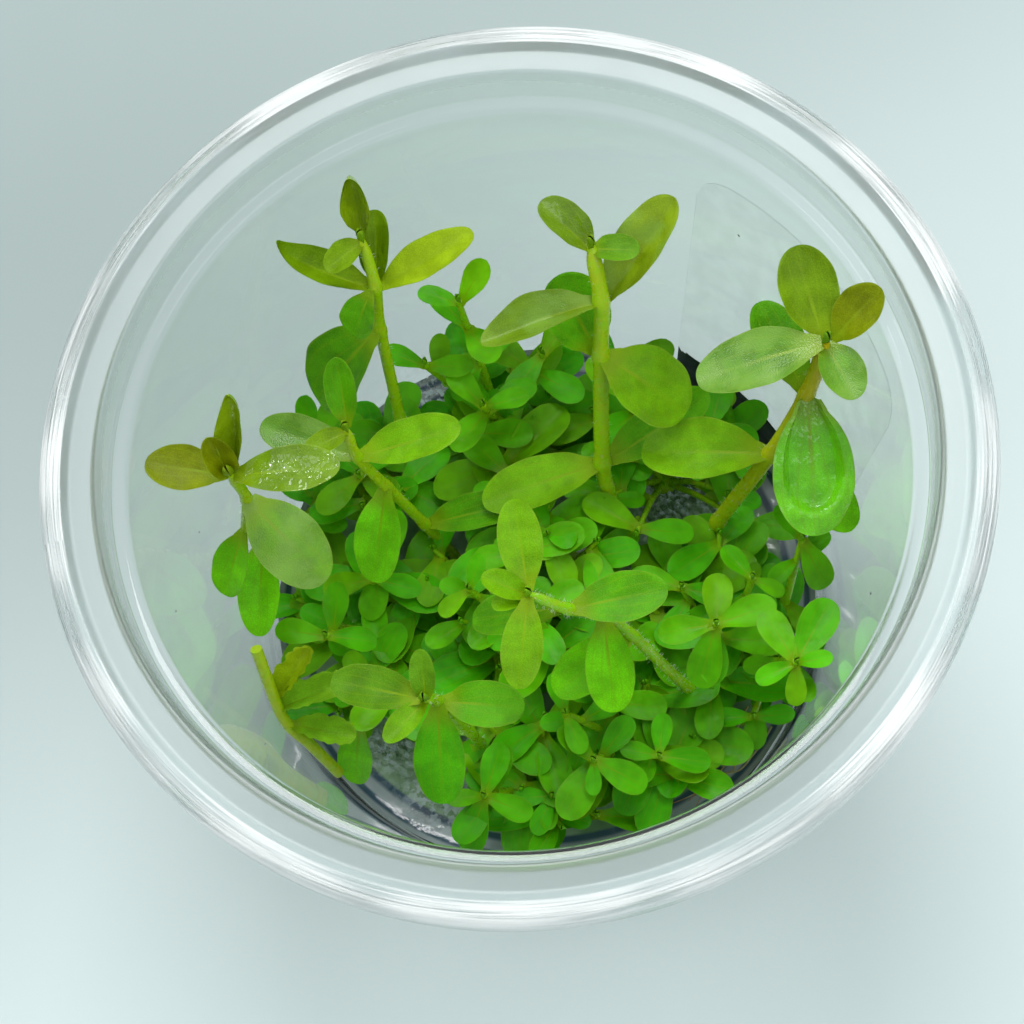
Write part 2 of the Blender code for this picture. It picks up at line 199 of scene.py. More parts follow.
# Colours, linear
FRESH = (0.095, 0.360, 0.001)
LUSH = (0.180, 0.690, 0.001)
LIME = (0.165, 0.415, 0.001)
LOW_FRESH = (0.090, 0.480, 0.001)
LOW_DEEP = (0.050, 0.440, 0.001)
LOW_YELLOW = (0.240, 0.480, 0.001)
BRONZE = (0.205, 0.260, 0.001)
OLIVE = (0.155, 0.290, 0.001)
PALE_OLIVE = (0.290, 0.440, 0.004)
FADED = (0.270, 0.580, 0.020)
SILVERY = (0.115, 0.300, 0.006)
# Painted sheen: the pale colour of the shiny patches on some leaves
PAINTED_SHEEN_COLOUR = (0.235, 0.430, 0.060)
RIB_YELLOW = (0.240, 0.370, 0.004)
MARGIN_PALE = (0.270, 0.400, 0.030)
UNDER_PALE = (0.200, 0.420, 0.010)
STEM_OLIVE = (0.350, 0.580, 0.005)
STEM_GREEN = (0.250, 0.640, 0.004)
STEM_AMBER = (0.560, 0.480, 0.006)
HAIR_WHITE = (0.75, 0.82, 0.62)
ROOT_BROWN = (0.38, 0.33, 0.07)
ROOT_RED = (0.36, 0.10, 0.03)
SPECK_DARK = (0.05, 0.07, 0.06)
# Painted glint colour on the gel's broken lumps
PAINTED_GLINT_WHITE = (0.78, 0.93, 0.98)
# Painted refraction rings of the cup's foot on the gel: dark, then pale
PAINTED_DARK_RING = (0.060, 0.115, 0.175)
PAINTED_PALE_RING = (0.42, 0.49, 0.52)
GEL_DARK = (0.16, 0.31, 0.15)
GEL_CLOUDY = (0.36, 0.55, 0.34)
# The floor's painted light falloff, from its shaded end to its lit end
FLOOR_PAINTED_SHADE = (0.40, 0.48, 0.475)
FLOOR_PAINTED_LIGHT = (0.74, 0.84, 0.845)

# Finishes: the sizes and depths of what shows on each, in millimetres, and how strongly it shows
BLOTCH_SIZE = 3.0
BLOTCH_DEPTH = 0.35
SHINY_PAINTED_SHEEN_BLOTCH_DEPTH = 0.12
PEBBLE_SIZE = 0.17
PEBBLE_DEPTH = 0.035
VEINS_ASIDE = 15.0
VEINS_ALONG = 7.0
VEIN_STRENGTH = 0.20
MARGIN_STRENGTH = 0.5
UNDER_STRENGTH = 0.4
# Size of the patches of painted sheen
PAINTED_SHEEN_SIZE = 4.5
FILM_SIZE = 1.7
FILM_DEPTH = 0.60
WATER_FILM = {"Coat_Weight": 1.0, "Coat_Roughness": 0.05, "Coat_IOR": 1.5}
PLASTIC_IOR = 1.46
RIM_TRANSMISSION = 0.96
SATIN_ROUGHNESS = 0.30
PAINTED_GLINT_SIZE = 1.0
CRUMPLE_SIZE = 1.1
CRUMPLE_DEPTH = 1.2
RIPPLE_DEPTH = 0.20

# Painted rings on the gel's top near the wall, the dark and pale refraction lines of the cup's foot: where
# each starts and is full, and its colour
PAINTED_FOOT_RINGS = [
    (32.6, 33.1, PAINTED_DARK_RING), (33.5, 34.2, PAINTED_PALE_RING), (35.0, 35.4, PAINTED_DARK_RING), (35.8, 36.3, PAINTED_PALE_RING),
]

# Floor and lights. A light is a name, a place, a size, a power and a colour, in metres and watts
FLOOR_SIZE = 3.0
FLOOR_DROP = 0.05
# Painted light falloff on the floor, along 0.35 x less y in metres: from fully shaded to fully lit
FLOOR_PAINTED_FALLOFF = (-0.110, 0.050)
SOFT_LIGHTS = [
    ("key", (0.05, 0.45, 0.72), 0.36, 3.1, (1.0, 1.0, 0.99)),
    ("fill", (0.32, -0.30, 0.50), 0.55, 1.25, (0.96, 1.0, 1.0)),
    ("side", (-0.52, 0.12, 0.60), 0.34, 0.7, (0.97, 1.0, 1.0)),
]
GLINTS = [
    ("glint", (0.16, 0.12, 0.75), 0.06, 0.5, (1.0, 1.0, 1.0)),
    ("left_glint", (-0.45, 0.30, 0.66), 0.06, 0.5, (1.0, 1.0, 1.0)),
]
LIGHTS_AIM = (0, 0, 0.03)
SKY = (0.90, 0.97, 0.97)
SKY_STRENGTH = 0.57
DIFFUSE_BOUNCES = 3

# A leaf at a node of its stem. Its tip bends down by curl and its sides fold up by fold, in degrees.
# cup lifts its edge evenly and rim lifts a ledge round it, as shares of half its width. gloss is wet, or
# silky for a shinier skin with pale patches of painted sheen. hook lifts the very tip, as a
# share of the length, and narrows it. torn notches its outline.
Leaf = namedtuple("Leaf", "name node heading rise length width tint curl fold cup gloss rim hook torn",
                  defaults=(10, 16, 0.10, "", 0.0, 0.0, 0.0))
Shoot = namedtuple("Shoot", "radius nodes leaves bud tint")
Part = namedtuple("Part", "points faces blade tint finish")


SHOOTS = {
    "back": Shoot(1.15, [(9, 3), (11, 6, 22), (11, 9, 29), (13, 16, 46), (14, 19, 54), (14, 23, 60)], [
        Leaf("low_left", 2, -175, 4, 14.4, 7.0, LIME, 15),
        Leaf("low_right", 2, 15, 12, 14.6, 6.5, FRESH, -15),
        Leaf("round", 3, -44, -11, 10.9, 9.4, LIME, 30, 8),
        Leaf("behind", 3, 111, 42, 9.5, 8.5, FRESH),
        Leaf("folded_left", 4, -177, 4, 12.9, 7.0, OLIVE, 30, 42, gloss="silky", hook=0.05),
        Leaf("folded_right", 4, 30, 31, 13.7, 7.5, PALE_OLIVE, -20, 40, gloss="silky"),
    ], [Leaf("", 5, 131, 23, 7.6, 5.6, OLIVE, -10, 40, gloss="wet"),
        Leaf("", 5, -25, 18, 5.4, 3.6, SILVERY)], STEM_OLIVE),
    "back_left": Shoot(0.85, [(-14, 20), (-13, 22, 28), (-12, 26, 46), (-11, 27, 55), (-11, 30, 61)], [
        Leaf("broad", 2, -160, -30, 12.1, 9.3, FRESH, 25),
        Leaf("right", 3, 10, 15, 11.8, 5.2, PALE_OLIVE, 0),
        Leaf("left", 3, 153, 9, 12.5, 5.4, OLIVE, -45, 35, hook=0.10),
        Leaf("folded", 3, 72, 48, 8.0, 5.0, OLIVE, 10, 45),
        Leaf("drooping", 3, 222, -35, 5.6, 4.6, FRESH, 25),
        Leaf("hooked", 4, 84, 40, 8.6, 5.6, PALE_OLIVE, -35, 55, cup=0.5, gloss="wet", hook=0.14),
    ], [Leaf("", 4, -161, -10, 5.0, 3.6, OLIVE)], STEM_OLIVE),
    "left": Shoot(0.8, [
        (-28, 12), (-29, 10, 26), (-32, 8, 35), (-33, 7, 41), (-31, 7, 50), (-31, 7, 58),
    ], [
        Leaf("hanging_near", 2, -108, -15, 11.5, 5.4, LUSH, 15),
        Leaf("hanging_far", 3, -132, -34, 8.6, 5.0, LUSH, 20),
        Leaf("silvery", 4, -57, -28, 12.6, 8.0, LIME, 20, -8, cup=0.02, gloss="silky"),
        Leaf("wet", 5, -14, 15, 11.8, 5.4, OLIVE, 5, 9, gloss="wet"),
        Leaf("bronze", 5, 160, 7, 8.2, 5.4, BRONZE, 0, 8),
        Leaf("upright", 5, 62, 42, 10.5, 4.8, PALE_OLIVE, -25, 50, cup=0.3, gloss="wet", hook=0.09),
    ], [Leaf("", 5, 110, 65, 6.0, 4.2, BRONZE, 10, 40, cup=0.3)], STEM_OLIVE),
    "middle_left": Shoot(0.8, [(-9, 5), (-13, 8, 25), (-16, 10, 36), (-18, 11, 45), (-18, 12, 51)], [
        Leaf("low_right", 1, -6, 19, 12.1, 5.2, FRESH),
        Leaf("down", 2, -114, -28, 11.3, 6.2, LUSH, 15),
        Leaf("right", 3, -1, 8, 11.8, 5.8, LIME, -5),
        Leaf("left", 3, 150, 11, 10.8, 5.6, SILVERY, 5, gloss="silky"),
        Leaf("upright", 4, 81, 48, 8.1, 4.2, FRESH, -5, 30),
    ], [Leaf("", 4, -163, 12, 5.2, 3.0, OLIVE)], STEM_OLIVE),
    "middle": Shoot(0.8, [
        (21, -23), (15, -20, 20), (9, -15, 33), (6, -13, 38), (2, -13, 44), (-2, -12, 50),
    ], [
        Leaf("low_left", 2, -160, -10, 10.5, 6.2, LUSH, 15),
        Leaf("low_down", 3, -97, -20, 10.6, 6.0, LUSH, 20),
        Leaf("right", 4, -3, 6, 10.3, 5.9, FRESH, 5, 8, cup=0.04),
        Leaf("left", 4, 163, -30, 12.5, 5.6, FRESH, 10),
        Leaf("up", 5, 85, 18, 9.5, 5.2, LIME, 0, cup=0.04),
        Leaf("down", 5, -110, -12, 9.3, 4.9, LIME, 8, cup=0.04),
    ], [Leaf("", 5, 150, 30, 5.6, 3.4, LIME, 10, 25),
        Leaf("", 5, -175, 8, 4.0, 2.4, LIME, 10, 20)], STEM_GREEN),
    "front_left": Shoot(0.75, [(-11, -21), (-13, -20, 25), (-15, -19, 40), (-16, -20, 46)], [
        Leaf("down", 2, -103, -28, 11.5, 6.2, LOW_FRESH, 15),
        Leaf("right", 2, -18, 3, 8.8, 5.6, FRESH, 8, 6),
        Leaf("left", 3, 152, -12, 10.6, 5.4, SILVERY, 5),
    ], [Leaf("", 3, 80, 42, 6.0, 3.2, SILVERY, 10, 25),
        Leaf("", 3, -145, 12, 6.2, 3.2, LIME, 10, 20)], STEM_GREEN),
    "right": Shoot(1.1, [(20, -2), (24, 0, 22), (30, 1, 40), (34, 3, 51), (36, 5, 60)], [
        Leaf("low_left", 2, 162, -2, 13.9, 8.0, LIME, 15, 18),
        Leaf("low_right", 2, -52, -14, 12.0, 6.2, LUSH, 15),
        Leaf("front", 3, -98, -33, 14.8, 9.5, LUSH, 10, -6, cup=0.0, gloss="wet", rim=0.32),
        Leaf("behind", 3, 102, 16, 10.5, 5.8, FRESH),
        Leaf("left", 4, 178, -8, 13.1, 7.0, SILVERY, 15, 10, gloss="silky"),
        Leaf("far_right", 4, 22, 48, 7.2, 5.2, BRONZE, 10, 20),
        Leaf("top", 4, 97, 30, 9.6, 6.8, OLIVE, 0, 10),
    ], [Leaf("", 4, -78, 0, 6.8, 5.0, SILVERY, gloss="silky")], STEM_AMBER),
}

# Each stem of a clump: the place of its top, then the heading, rise and length of the leaves there
CLUMPS = {
    "clump_front": ((-7, -26), [
        ((-13, -28, 24), ((-35, 0, 6.0), (174, 25, 4.5), (-125, -25, 7.7), (59, 9, 6.5))),
        ((-5, -29, 19), ((172, 13, 4.5), (-127, 0, 5.0), (10, 20, 4.0))),
        ((0, -32, 15), ((169, 0, 6.0), (-18, 0, 6.7))),
    ]),
    "clump_front_right": ((7, -24), [
        ((1, -27, 25), ((-38, -8, 7.2), (123, 13, 5.5), (-104, 0, 4.0))),
        ((9, -28, 23), ((156, 11, 4.6), (-20, 0, 6.1), (70, 10, 5.0))),
        ((-1, -21, 27), ((93, 20, 5.0), (-80, 0, 5.0))),
    ]),
    "clump_right": ((21, -15), [
        ((19, -16, 33), ((174, 0, 6.8), (5, 8, 7.3), (-120, -25, 8.0))),
        ((25, -11, 31), ((-38, 0, 4.0), (119, 13, 5.0))),
        ((17, -8, 24), ((150, 5, 6.5), (-30, 5, 6.0))),
    ]),
    "clump_far_right": ((27, -17), [
        ((26.5, -23.5, 36), ((-170, 0, 4.8), (106, 8, 7.0), (46, 6, 8.5), (-10, 30, 4.2), (-104, -15, 4.8))),
        ((32, -8, 32), ((110, 10, 5.0), (-71, -30, 7.3))),
        ((22, -25, 18), ((170, 10, 5.0), (-10, 10, 5.0))),
    ]),
    "clump_left": ((-25, 1), [
        ((-28, -4, 26), ((159, 9, 6.4), (-15, -15, 6.2))),
        ((-21, 3, 23), ((178, 0, 6.6), (-28, 0, 6.0))),
        ((-24, -10, 20), ((-60, 5, 6.5), (120, 5, 5.5))),
    ]),
    "clump_centre": ((-5, -4), [
        ((-9, -4, 31), ((56, 30, 4.5), (-154, 0, 4.5))),
        ((-2, -8, 27), ((20, 5, 7.0), (-160, 5, 6.5))),
        ((2, 2, 26), ((100, 10, 7.0), (-80, 0, 7.0))),
    ]),
    "clump_back": ((0, 24), [
        ((-2, 28, 44), ((30, 45, 6.5), (152, 20, 5.0))),
        ((-2, 19, 32), ((120, 18, 6.3), (-1, 11, 5.6))),
        ((7, 26, 28), ((40, 10, 8.0), (-140, 5, 7.0))),
        ((-8, 26, 33), ((150, 20, 5.7), (-20, 15, 6.0))),
    ]),
    "clump_back_left": ((-19, 22), [
        ((-25, 22, 30), ((160, 9, 5.2), (68, 60, 5.5))),
        ((-20, 17, 24), ((-150, 5, 7.0), (30, 5, 6.0))),
    ]),
    "clump_back_right": ((20, 12), [
        ((17, 17, 27), ((120, 10, 8.0), (-60, 5, 7.5))),
        ((26, 12, 24), ((60, 5, 7.0), (-120, 5, 7.0))),
    ]),
}

FALLEN_STEM = [(-30, -21, 24), (-32, -18, 30), (-34, -15, 34), (-34, -9, 44)]
FALLEN_SIDE_STEM = [(-33, -16, 32), (-29, -15.5, 25), (-25.5, -14.5, 19)]
FALLEN_LEAVES = [
    ((-34, -14, 35), Leaf("", 0, 6, 4, 9.2, 5.4, FADED, 10, 48, cup=0.35, torn=0.22)),
    ((-34, -13, 36), Leaf("", 0, 36, 26, 7.6, 4.6, PALE_OLIVE, 10, 45, cup=0.3, torn=0.30)),
    ((-33, -16, 33), Leaf("", 0, -22, -12, 7.4, 4.6, FADED, 10, 40, cup=0.4, torn=0.22)),
    ((-27, -15, 20), Leaf("", 0, -119, -50, 10.0, 4.8, LUSH)),
]

# How much fills in between the stems of a clump
FILL_SPACING = 7.4
FILL_JITTER = 1.8
FILL_LOW = 14.0
FILL_RISE = 9.0
FILL_UNEVEN = (-1.5, 4.0)
FILL_WALL_CLEAR = 4.0
LOWER_PAIRS = (0.34, 0.58, 0.8)
FILL_PAIRS = ((0.62, 0, (7.0, 9.4)), (0.82, 90, (8.0, 10.8)), (0.97, 0, (5.4, 8.4)))
SHORTEST_LEAF = 2.6
WALL_CLEAR = 0.6

# Places where the gel stays in view between the plants, with their radii
GEL_SHOWN = [((21.2, 10.8), 4.5), ((-24.8, -15.4), 3.6), ((-19.5, -22.9), 4.2), ((-8.7, 33.0), 2.5),
             ((0.0, -33.5), 2.2), ((-31.5, -3.0), 2.5)]


def add(tree, kind, inputs=None, **settings):
    """The outputs of a new shader node. inputs are values or other outputs, by the input's name or number."""
    made = tree.nodes.new(f"ShaderNode{kind}")
    for key, value in settings.items():
        setattr(made, key, value)
    for key, value in (inputs or {}).items():
        if isinstance(value, bpy.types.NodeSocket):
            tree.links.new(value, made.inputs[key])
        else:
            made.inputs[key].default_value = value
    return made.outputs


def mix(tree, factor, first, second):
    """The colour between two colours."""
    def colour(value):
        return value if isinstance(value, bpy.types.NodeSocket) else (*value, 1.0)
    return add(tree, "Mix", {0: factor, 6: colour(first), 7: colour(second)}, data_type="RGBA")[2]


def ramp(tree, value, low, high, to_low=0.0, to_high=1.0):
    """A value moved smoothly from one range to another and held at its ends."""
    inputs = {"Value": value, "From Min": low, "From Max": high, "To Min": to_low, "To Max": to_high}
    return add(tree, "MapRange", inputs, interpolation_type="SMOOTHSTEP")["Result"]


def maths(tree, operation, first, second=0.0):
    """One sum on two values."""
    return add(tree, "Math", {0: first, 1: second}, operation=operation)[0]


def layered(tree, colour, layers):
    """A colour with others laid over it. A layer is how far it covers and its own colour."""
    for share, layer in layers:
        colour = mix(tree, share, colour, layer)
    return colour


def place_field(tree):
    """A point's own place on its piece."""
    return add(tree, "TexCoord")["Object"]


def axes(tree, vector):
    """The three parts of a vector."""
    return tuple(add(tree, "SeparateXYZ", {"Vector": vector}))


def tint_field(tree):
    """The colour that a piece's own points carry."""
    return add(tree, "Attribute", attribute_name="tint")["Color"]


def noise(tree, size, detail=2.0):
    """Soft noise whose features are about size millimetres across."""
    inputs = {"Vector": place_field(tree), "Scale": 1.0 / (size * MM), "Detail": detail}
    return add(tree, "TexNoise", inputs)["Fac"]


def speckle(tree, size, low=0.0, high=1.0, detail=2.0):
    """Noise stretched to run from low to high."""
    return ramp(tree, noise(tree, size, detail), 0.3, 0.7, low, high)


def cells(tree, size):
    """Distance to the middle of the nearest cell, for cells about size millimetres across."""
    inputs = {"Vector": place_field(tree), "Scale": 1.0 / (size * MM)}
    return add(tree, "TexVoronoi", inputs)["Distance"]


def bump(tree, height, depth, under=None):
    """A bump of that depth in millimetres, on top of another one if given."""
    inputs = {"Height": height, "Distance": depth * MM, "Strength": 1.0}
    if under is not None:
        inputs["Normal"] = under
    return add(tree, "Bump", inputs)["Normal"]


def material(name, **values):
    """A new material with its shader's own values set, and its node tree and shader."""
    made = bpy.data.materials.new(name)
    made.use_nodes = True
    tree = made.node_tree
    shader = tree.nodes["Principled BSDF"]
    for key, value in values.items():
        shader.inputs[key.replace("_", " ")].default_value = value
    return made, tree, shader


def feed(tree, shader, **sources):
    """Links nodes' outputs to the shader's inputs, whose names have _ in place of a space."""
    for key, source in sources.items():
        tree.links.new(source, shader.inputs[key.replace("_", " ")])


def blade_fields(tree):
    """A leaf's own coordinates: distance from its middle line, place along it, and which side."""
    across, along, below = axes(tree, add(tree, "Attribute", attribute_name="blade")["Vector"])
    return maths(tree, "ABSOLUTE", across), along, below


def leaf_colour(tree, scale, painted_sheen):
    """Its tint scaled, with faint side veins, a yellow foot and midrib, a pale margin and underside, and
    painted sheen.
    """
    aside, along, below = blade_fields(tree)
    colour = add(tree, "VectorMath", {0: tint_field(tree), "Scale": scale}, operation="SCALE")[0]
    outwards = maths(tree, "MULTIPLY", aside, VEINS_ASIDE)
    phase = maths(tree, "ADD", outwards, maths(tree, "MULTIPLY", along, -VEINS_ALONG))
    foot = ramp(tree, along, 0.26, -0.04, 0.0, 0.75)
    rib = maths(tree, "MULTIPLY", ramp(tree, aside, 0.10, 0.02), ramp(tree, along, 0.80, 0.05, 0.0, 0.85))
    layers = [
        (ramp(tree, maths(tree, "SINE", phase), 0.80, 1.0, 0.0, VEIN_STRENGTH), RIB_YELLOW),
        (maths(tree, "MAXIMUM", foot, rib), RIB_YELLOW),
        (ramp(tree, aside, 0.94, 1.0, 0.0, MARGIN_STRENGTH), MARGIN_PALE),
        (maths(tree, "MULTIPLY", below, UNDER_STRENGTH), UNDER_PALE),
    ]
    # Pale patches of painted sheen laid over the leaf's colour
    if painted_sheen:
        layers.append((ramp(tree, noise(tree, PAINTED_SHEEN_SIZE, 3.0), 0.44, 0.60, 0.0, painted_sheen), PAINTED_SHEEN_COLOUR))
    return layered(tree, colour, layers)


def leaf_material(name, shine=0.14, rough=(0.30, 0.46), painted_sheen=0.0, wet=False, fine=True):
    """A blotchy green blade with a finely pebbled skin.

    painted_sheen is how pale its patches of painted sheen are. A wet blade has a rippled film, and one that
    isn't fine is smooth.
    """
    made, tree, shader = material(name, Specular_IOR_Level=shine, **(WATER_FILM if wet else {}))
    blotch = noise(tree, BLOTCH_SIZE)
    scale = ramp(tree, blotch, 0.32, 0.68, 0.84, 1.14)
    pebbles = None
    if fine:
        pebble = cells(tree, PEBBLE_SIZE)
        scale = maths(tree, "MULTIPLY", scale, ramp(tree, pebble, 0.1, 0.6, 1.12, 0.90))
        pebbles = bump(tree, maths(tree, "MULTIPLY", pebble, -1.0), PEBBLE_DEPTH)
    relief = bump(tree, blotch, SHINY_PAINTED_SHEEN_BLOTCH_DEPTH if painted_sheen else BLOTCH_DEPTH, pebbles)
    feed(tree, shader, Base_Color=leaf_colour(tree, scale, painted_sheen), Normal=relief,
         Roughness=ramp(tree, blotch, 0.3, 0.7, *rough))
    if wet:
        feed(tree, shader, Coat_Normal=bump(tree, noise(tree, FILM_SIZE), FILM_DEPTH))
    return made


def stem_material():
    """Fleshy stem, streaked and blotched."""
    made, tree, shader = material("stem_flesh", Specular_IOR_Level=0.35)
    streaks = ramp(tree, noise(tree, 0.6, 3.0), 0.35, 0.65, 0.0, 0.3)
    blotches = ramp(tree, noise(tree, 3.0), 0.45, 0.7, 0.0, 0.3)
    colour = layered(tree, tint_field(tree), [(streaks, STEM_AMBER), (blotches, STEM_GREEN)])
    feed(tree, shader, Base_Color=colour, Normal=bump(tree, noise(tree, 0.25), 0.03),
         Roughness=speckle(tree, 0.8, 0.22, 0.40))
    return made


def plain_tint_material(name, roughness, grain_size):
    """A small matt piece in its own tint, such as a hair, a root or a speck."""
    made, tree, shader = material(name)
    colour = mix(tree, speckle(tree, grain_size, 0.0, 0.35), tint_field(tree), HAIR_WHITE)
    feed(tree, shader, Base_Color=colour, Roughness=speckle(tree, grain_size, roughness, roughness + 0.2))
    return made


def radius_field(tree):
    """Distance from the cup's axis, in millimetres."""
    flat = add(tree, "VectorMath", {0: place_field(tree), 1: (1.0, 1.0, 0.0)}, operation="MULTIPLY")[0]
    size = add(tree, "VectorMath", {0: flat}, operation="LENGTH")["Value"]
    return maths(tree, "MULTIPLY", size, 1.0 / MM)


def ring_streaks(tree, thickness, reach):
    """Noise drawn out round the cup's axis: thickness across the streaks in millimetres, reach in degrees."""
    x, y, z = axes(tree, place_field(tree))
    around = add(tree, "CombineXYZ", {
        "X": maths(tree, "MULTIPLY", radius_field(tree), 1.0 / thickness),
        "Y": maths(tree, "MULTIPLY", maths(tree, "ARCTAN2", y, x), 180.0 / math.pi / reach),
        "Z": maths(tree, "MULTIPLY", z, 1.0 / (thickness * MM)),
    })[0]
    return add(tree, "TexNoise", {"Vector": around, "Scale": 1.0, "Detail": 2.0})["Fac"]


def cup_material():
    """Clear plastic with a little cloudy haze, milkier round the rim and satin on its flat top."""
    made, tree, shader = material("clear_plastic", IOR=PLASTIC_IOR)
    height = axes(tree, place_field(tree))[2]
    haze = noise(tree, 9.0, 1.0)
    satin = ramp(tree, height, SATIN_FROM * MM, FLANGE_UNDER * MM, 0.0, SATIN_ROUGHNESS)
    feed(tree, shader,
         Transmission_Weight=ramp(tree, height, MILKY_FROM * MM, LEDGE_UNDER * MM, 1.0, RIM_TRANSMISSION),
         Roughness=maths(tree, "ADD", ramp(tree, haze, 0.45, 0.75, 0.01, 0.05), satin),
         Base_Color=mix(tree, haze, (0.95, 0.985, 0.975), (0.97, 0.995, 0.985)))
    return made


def frosted_material():
    """The same plastic, milky and streaked, for the ground outer band of the rim."""
    made, tree, shader = material("frosted_plastic", IOR=PLASTIC_IOR)
    streaks = maths(tree, "ADD", ring_streaks(tree, 0.16, 16.0), noise(tree, 14.0, 1.0))
    streaks = maths(tree, "MULTIPLY", streaks, 0.5)
    feed(tree, shader,
         Transmission_Weight=ramp(tree, streaks, 0.42, 0.60, 0.85, 0.15),
         Roughness=ramp(tree, streaks, 0.35, 0.65, 0.25, 0.6),
         Base_Color=mix(tree, ramp(tree, streaks, 0.3, 0.7), (0.88, 0.95, 0.95), (1.0, 1.0, 1.0)),
         Normal=bump(tree, noise(tree, 0.3), 0.03))
    return made


def gel_material():
    """Dark, cloudy, glossy gel with painted refraction rings near the wall and painted pale glints on its
    broken lumps.
    """
    made, tree, shader = material("dark_gel", Specular_IOR_Level=0.5, Coat_Weight=1.0, Coat_Roughness=0.05,
                                  Coat_IOR=1.45)
    colour = mix(tree, speckle(tree, 6.0, detail=3.0), GEL_DARK, GEL_CLOUDY)
    radius = radius_field(tree)
    # Painted dark and pale refraction rings of the cup's foot, on the gel's top near the wall
    on_top = ramp(tree, axes(tree, place_field(tree))[2], (GEL_TOP - 1.5) * MM, (GEL_TOP - 1.0) * MM)
    layers = [(maths(tree, "MULTIPLY", on_top, ramp(tree, radius, start, end)), tint)
              for start, end, tint in PAINTED_FOOT_RINGS]
    lumps = add(tree, "Attribute", attribute_name="tint")["Fac"]
    # Painted glints: pale patches laid on the broken lumps
    painted_glints = ramp(tree, noise(tree, PAINTED_GLINT_SIZE, 3.0), 0.46, 0.58)
    layers.append((maths(tree, "MULTIPLY", lumps, painted_glints), PAINTED_GLINT_WHITE))
    crumple = maths(tree, "MULTIPLY", lumps, noise(tree, CRUMPLE_SIZE, 3.0))
    ripple = bump(tree, crumple, CRUMPLE_DEPTH, bump(tree, noise(tree, 5.0), RIPPLE_DEPTH))
    feed(tree, shader, Base_Color=layered(tree, colour, layers), Normal=ripple, Coat_Normal=ripple,
         Roughness=speckle(tree, 2.0, 0.10, 0.26))
    return made


def film_material(name, colour, roughness, transmission, index):
    """Label film with a slight orange-peel surface."""
    made, tree, shader = material(name, Transmission_Weight=transmission, IOR=index)
    darker = tuple(c * 0.93 for c in colour)
    feed(tree, shader, Base_Color=mix(tree, speckle(tree, 3.0, detail=3.0), darker, colour),
         Roughness=speckle(tree, 1.0, roughness, roughness + 0.08), Normal=bump(tree, noise(tree, 0.8), 0.02))
    return made


def publish(name, parts, materials, node):
    """Several parts as one finished piece that stands for a node of the frame and rides with it."""
    points = np.vstack([p.points for p in parts])
    faces, finish, start = [], [], 0
    for p in parts:
        faces += [tuple(i + start for i in face) for face in p.faces]
        finish += [p.finish] * len(p.faces) if isinstance(p.finish, int) else p.finish
        start += len(p.points)
    mesh = bpy.data.meshes.new(name)
    mesh.from_pydata((points * MM).tolist(), [], faces)
    blade = np.vstack([p.blade for p in parts])
    mesh.attributes.new("blade", "FLOAT_VECTOR", "POINT").data.foreach_set("vector", blade.ravel())
    tint = np.hstack([np.vstack([p.tint for p in parts]), np.ones((start, 1))])
    mesh.attributes.new("tint", "FLOAT_COLOR", "POINT").data.foreach_set("color", tint.ravel())
    for finish_material in materials:
        mesh.materials.append(finish_material)
    mesh.polygons.foreach_set("material_index", finish)
    mesh.shade_smooth()
    mesh.set_sharp_from_angle(angle=math.radians(SHARP_FROM))
    mesh.update()
    piece = bpy.data.objects.new(name, mesh)
    bpy.context.scene.collection.objects.link(piece)
    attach(piece, "root")
    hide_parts(node)


def ring_faces(rings, size, first=0):
    """Faces between rings of points that follow each other in one list."""
    faces = []
    for i in range(rings - 1):
        a = first + i * size
        for j in range(size):
            k = (j + 1) % size
            faces.append((a + j, a + k, a + size + k, a + size + j))
    return faces


def smooth_route(points, step):
    """Points about a step apart on a smooth curve through the given ones."""
    points = [Vector(p) for p in points]
    padded = [2 * points[0] - points[1], *points, 2 * points[-1] - points[-2]]
    route = [points[0]]
    for a, b, c, d in zip(padded, padded[1:], padded[2:], padded[3:]):
        pieces = max(1, round((c - b).length / step))
        for i in range(1, pieces + 1):
            t = i / pieces
            route.append(0.5 * (2 * b + (c - a) * t + (2 * a - 5 * b + 4 * c - d) * t * t
                                + (3 * b - a - 3 * c + d) * t ** 3))
    return route


def tube(route, radii, sides, tint, finish=0):
    """A closed round tube along a route. It has a radius at each point of it, and one tint or one at each."""
    points = []
    side = Vector((1, 0, 0))
    for i, (point, radius) in enumerate(zip(route, radii)):
        along = (route[min(i + 1, len(route) - 1)] - route[max(i - 1, 0)]).normalized()
        side = (side - along * side.dot(along)).normalized()
        other = along.cross(side)
        for j in range(sides):
            angle = math.tau * j / sides
            points.append(point + radius * (math.cos(angle) * side + math.sin(angle) * other))
    faces = ring_faces(len(route), sides)
    faces.append(tuple(reversed(range(sides))))
    faces.append(tuple(range(len(points) - sides, len(points))))
    tints = np.repeat(np.broadcast_to(tint, (len(route), 3)), sides, axis=0)
    blade = np.zeros((len(points), 3))
    blade[:, 1] = np.repeat(np.linspace(0, 1, len(route)), sides)
    return Part(np.array([tuple(p) for p in points]), faces, blade, tints, finish)


def outline(t, shift):
    """Half the width of a leaf one wide, at t of its length."""
    inside = np.clip(t, 0.0, 1.0)
    blade = np.maximum(np.sin(np.pi * inside ** shift), 0.0) ** BLADE_ROUNDNESS
    neck = LEAF_FOOT * (1.0 - inside + NECK_TAPER * np.clip(t, -0.2, 0.0))
    return 0.5 * (blade ** 4 + neck ** 4) ** 0.25


def leaf_axes(heading, rise):
    """Turns a leaf that points along +X with its face up to its heading and rise."""
    turn = Matrix.Rotation(math.radians(heading), 3, "Z") @ Matrix.Rotation(-math.radians(rise), 3, "Y")
    return np.array(turn)


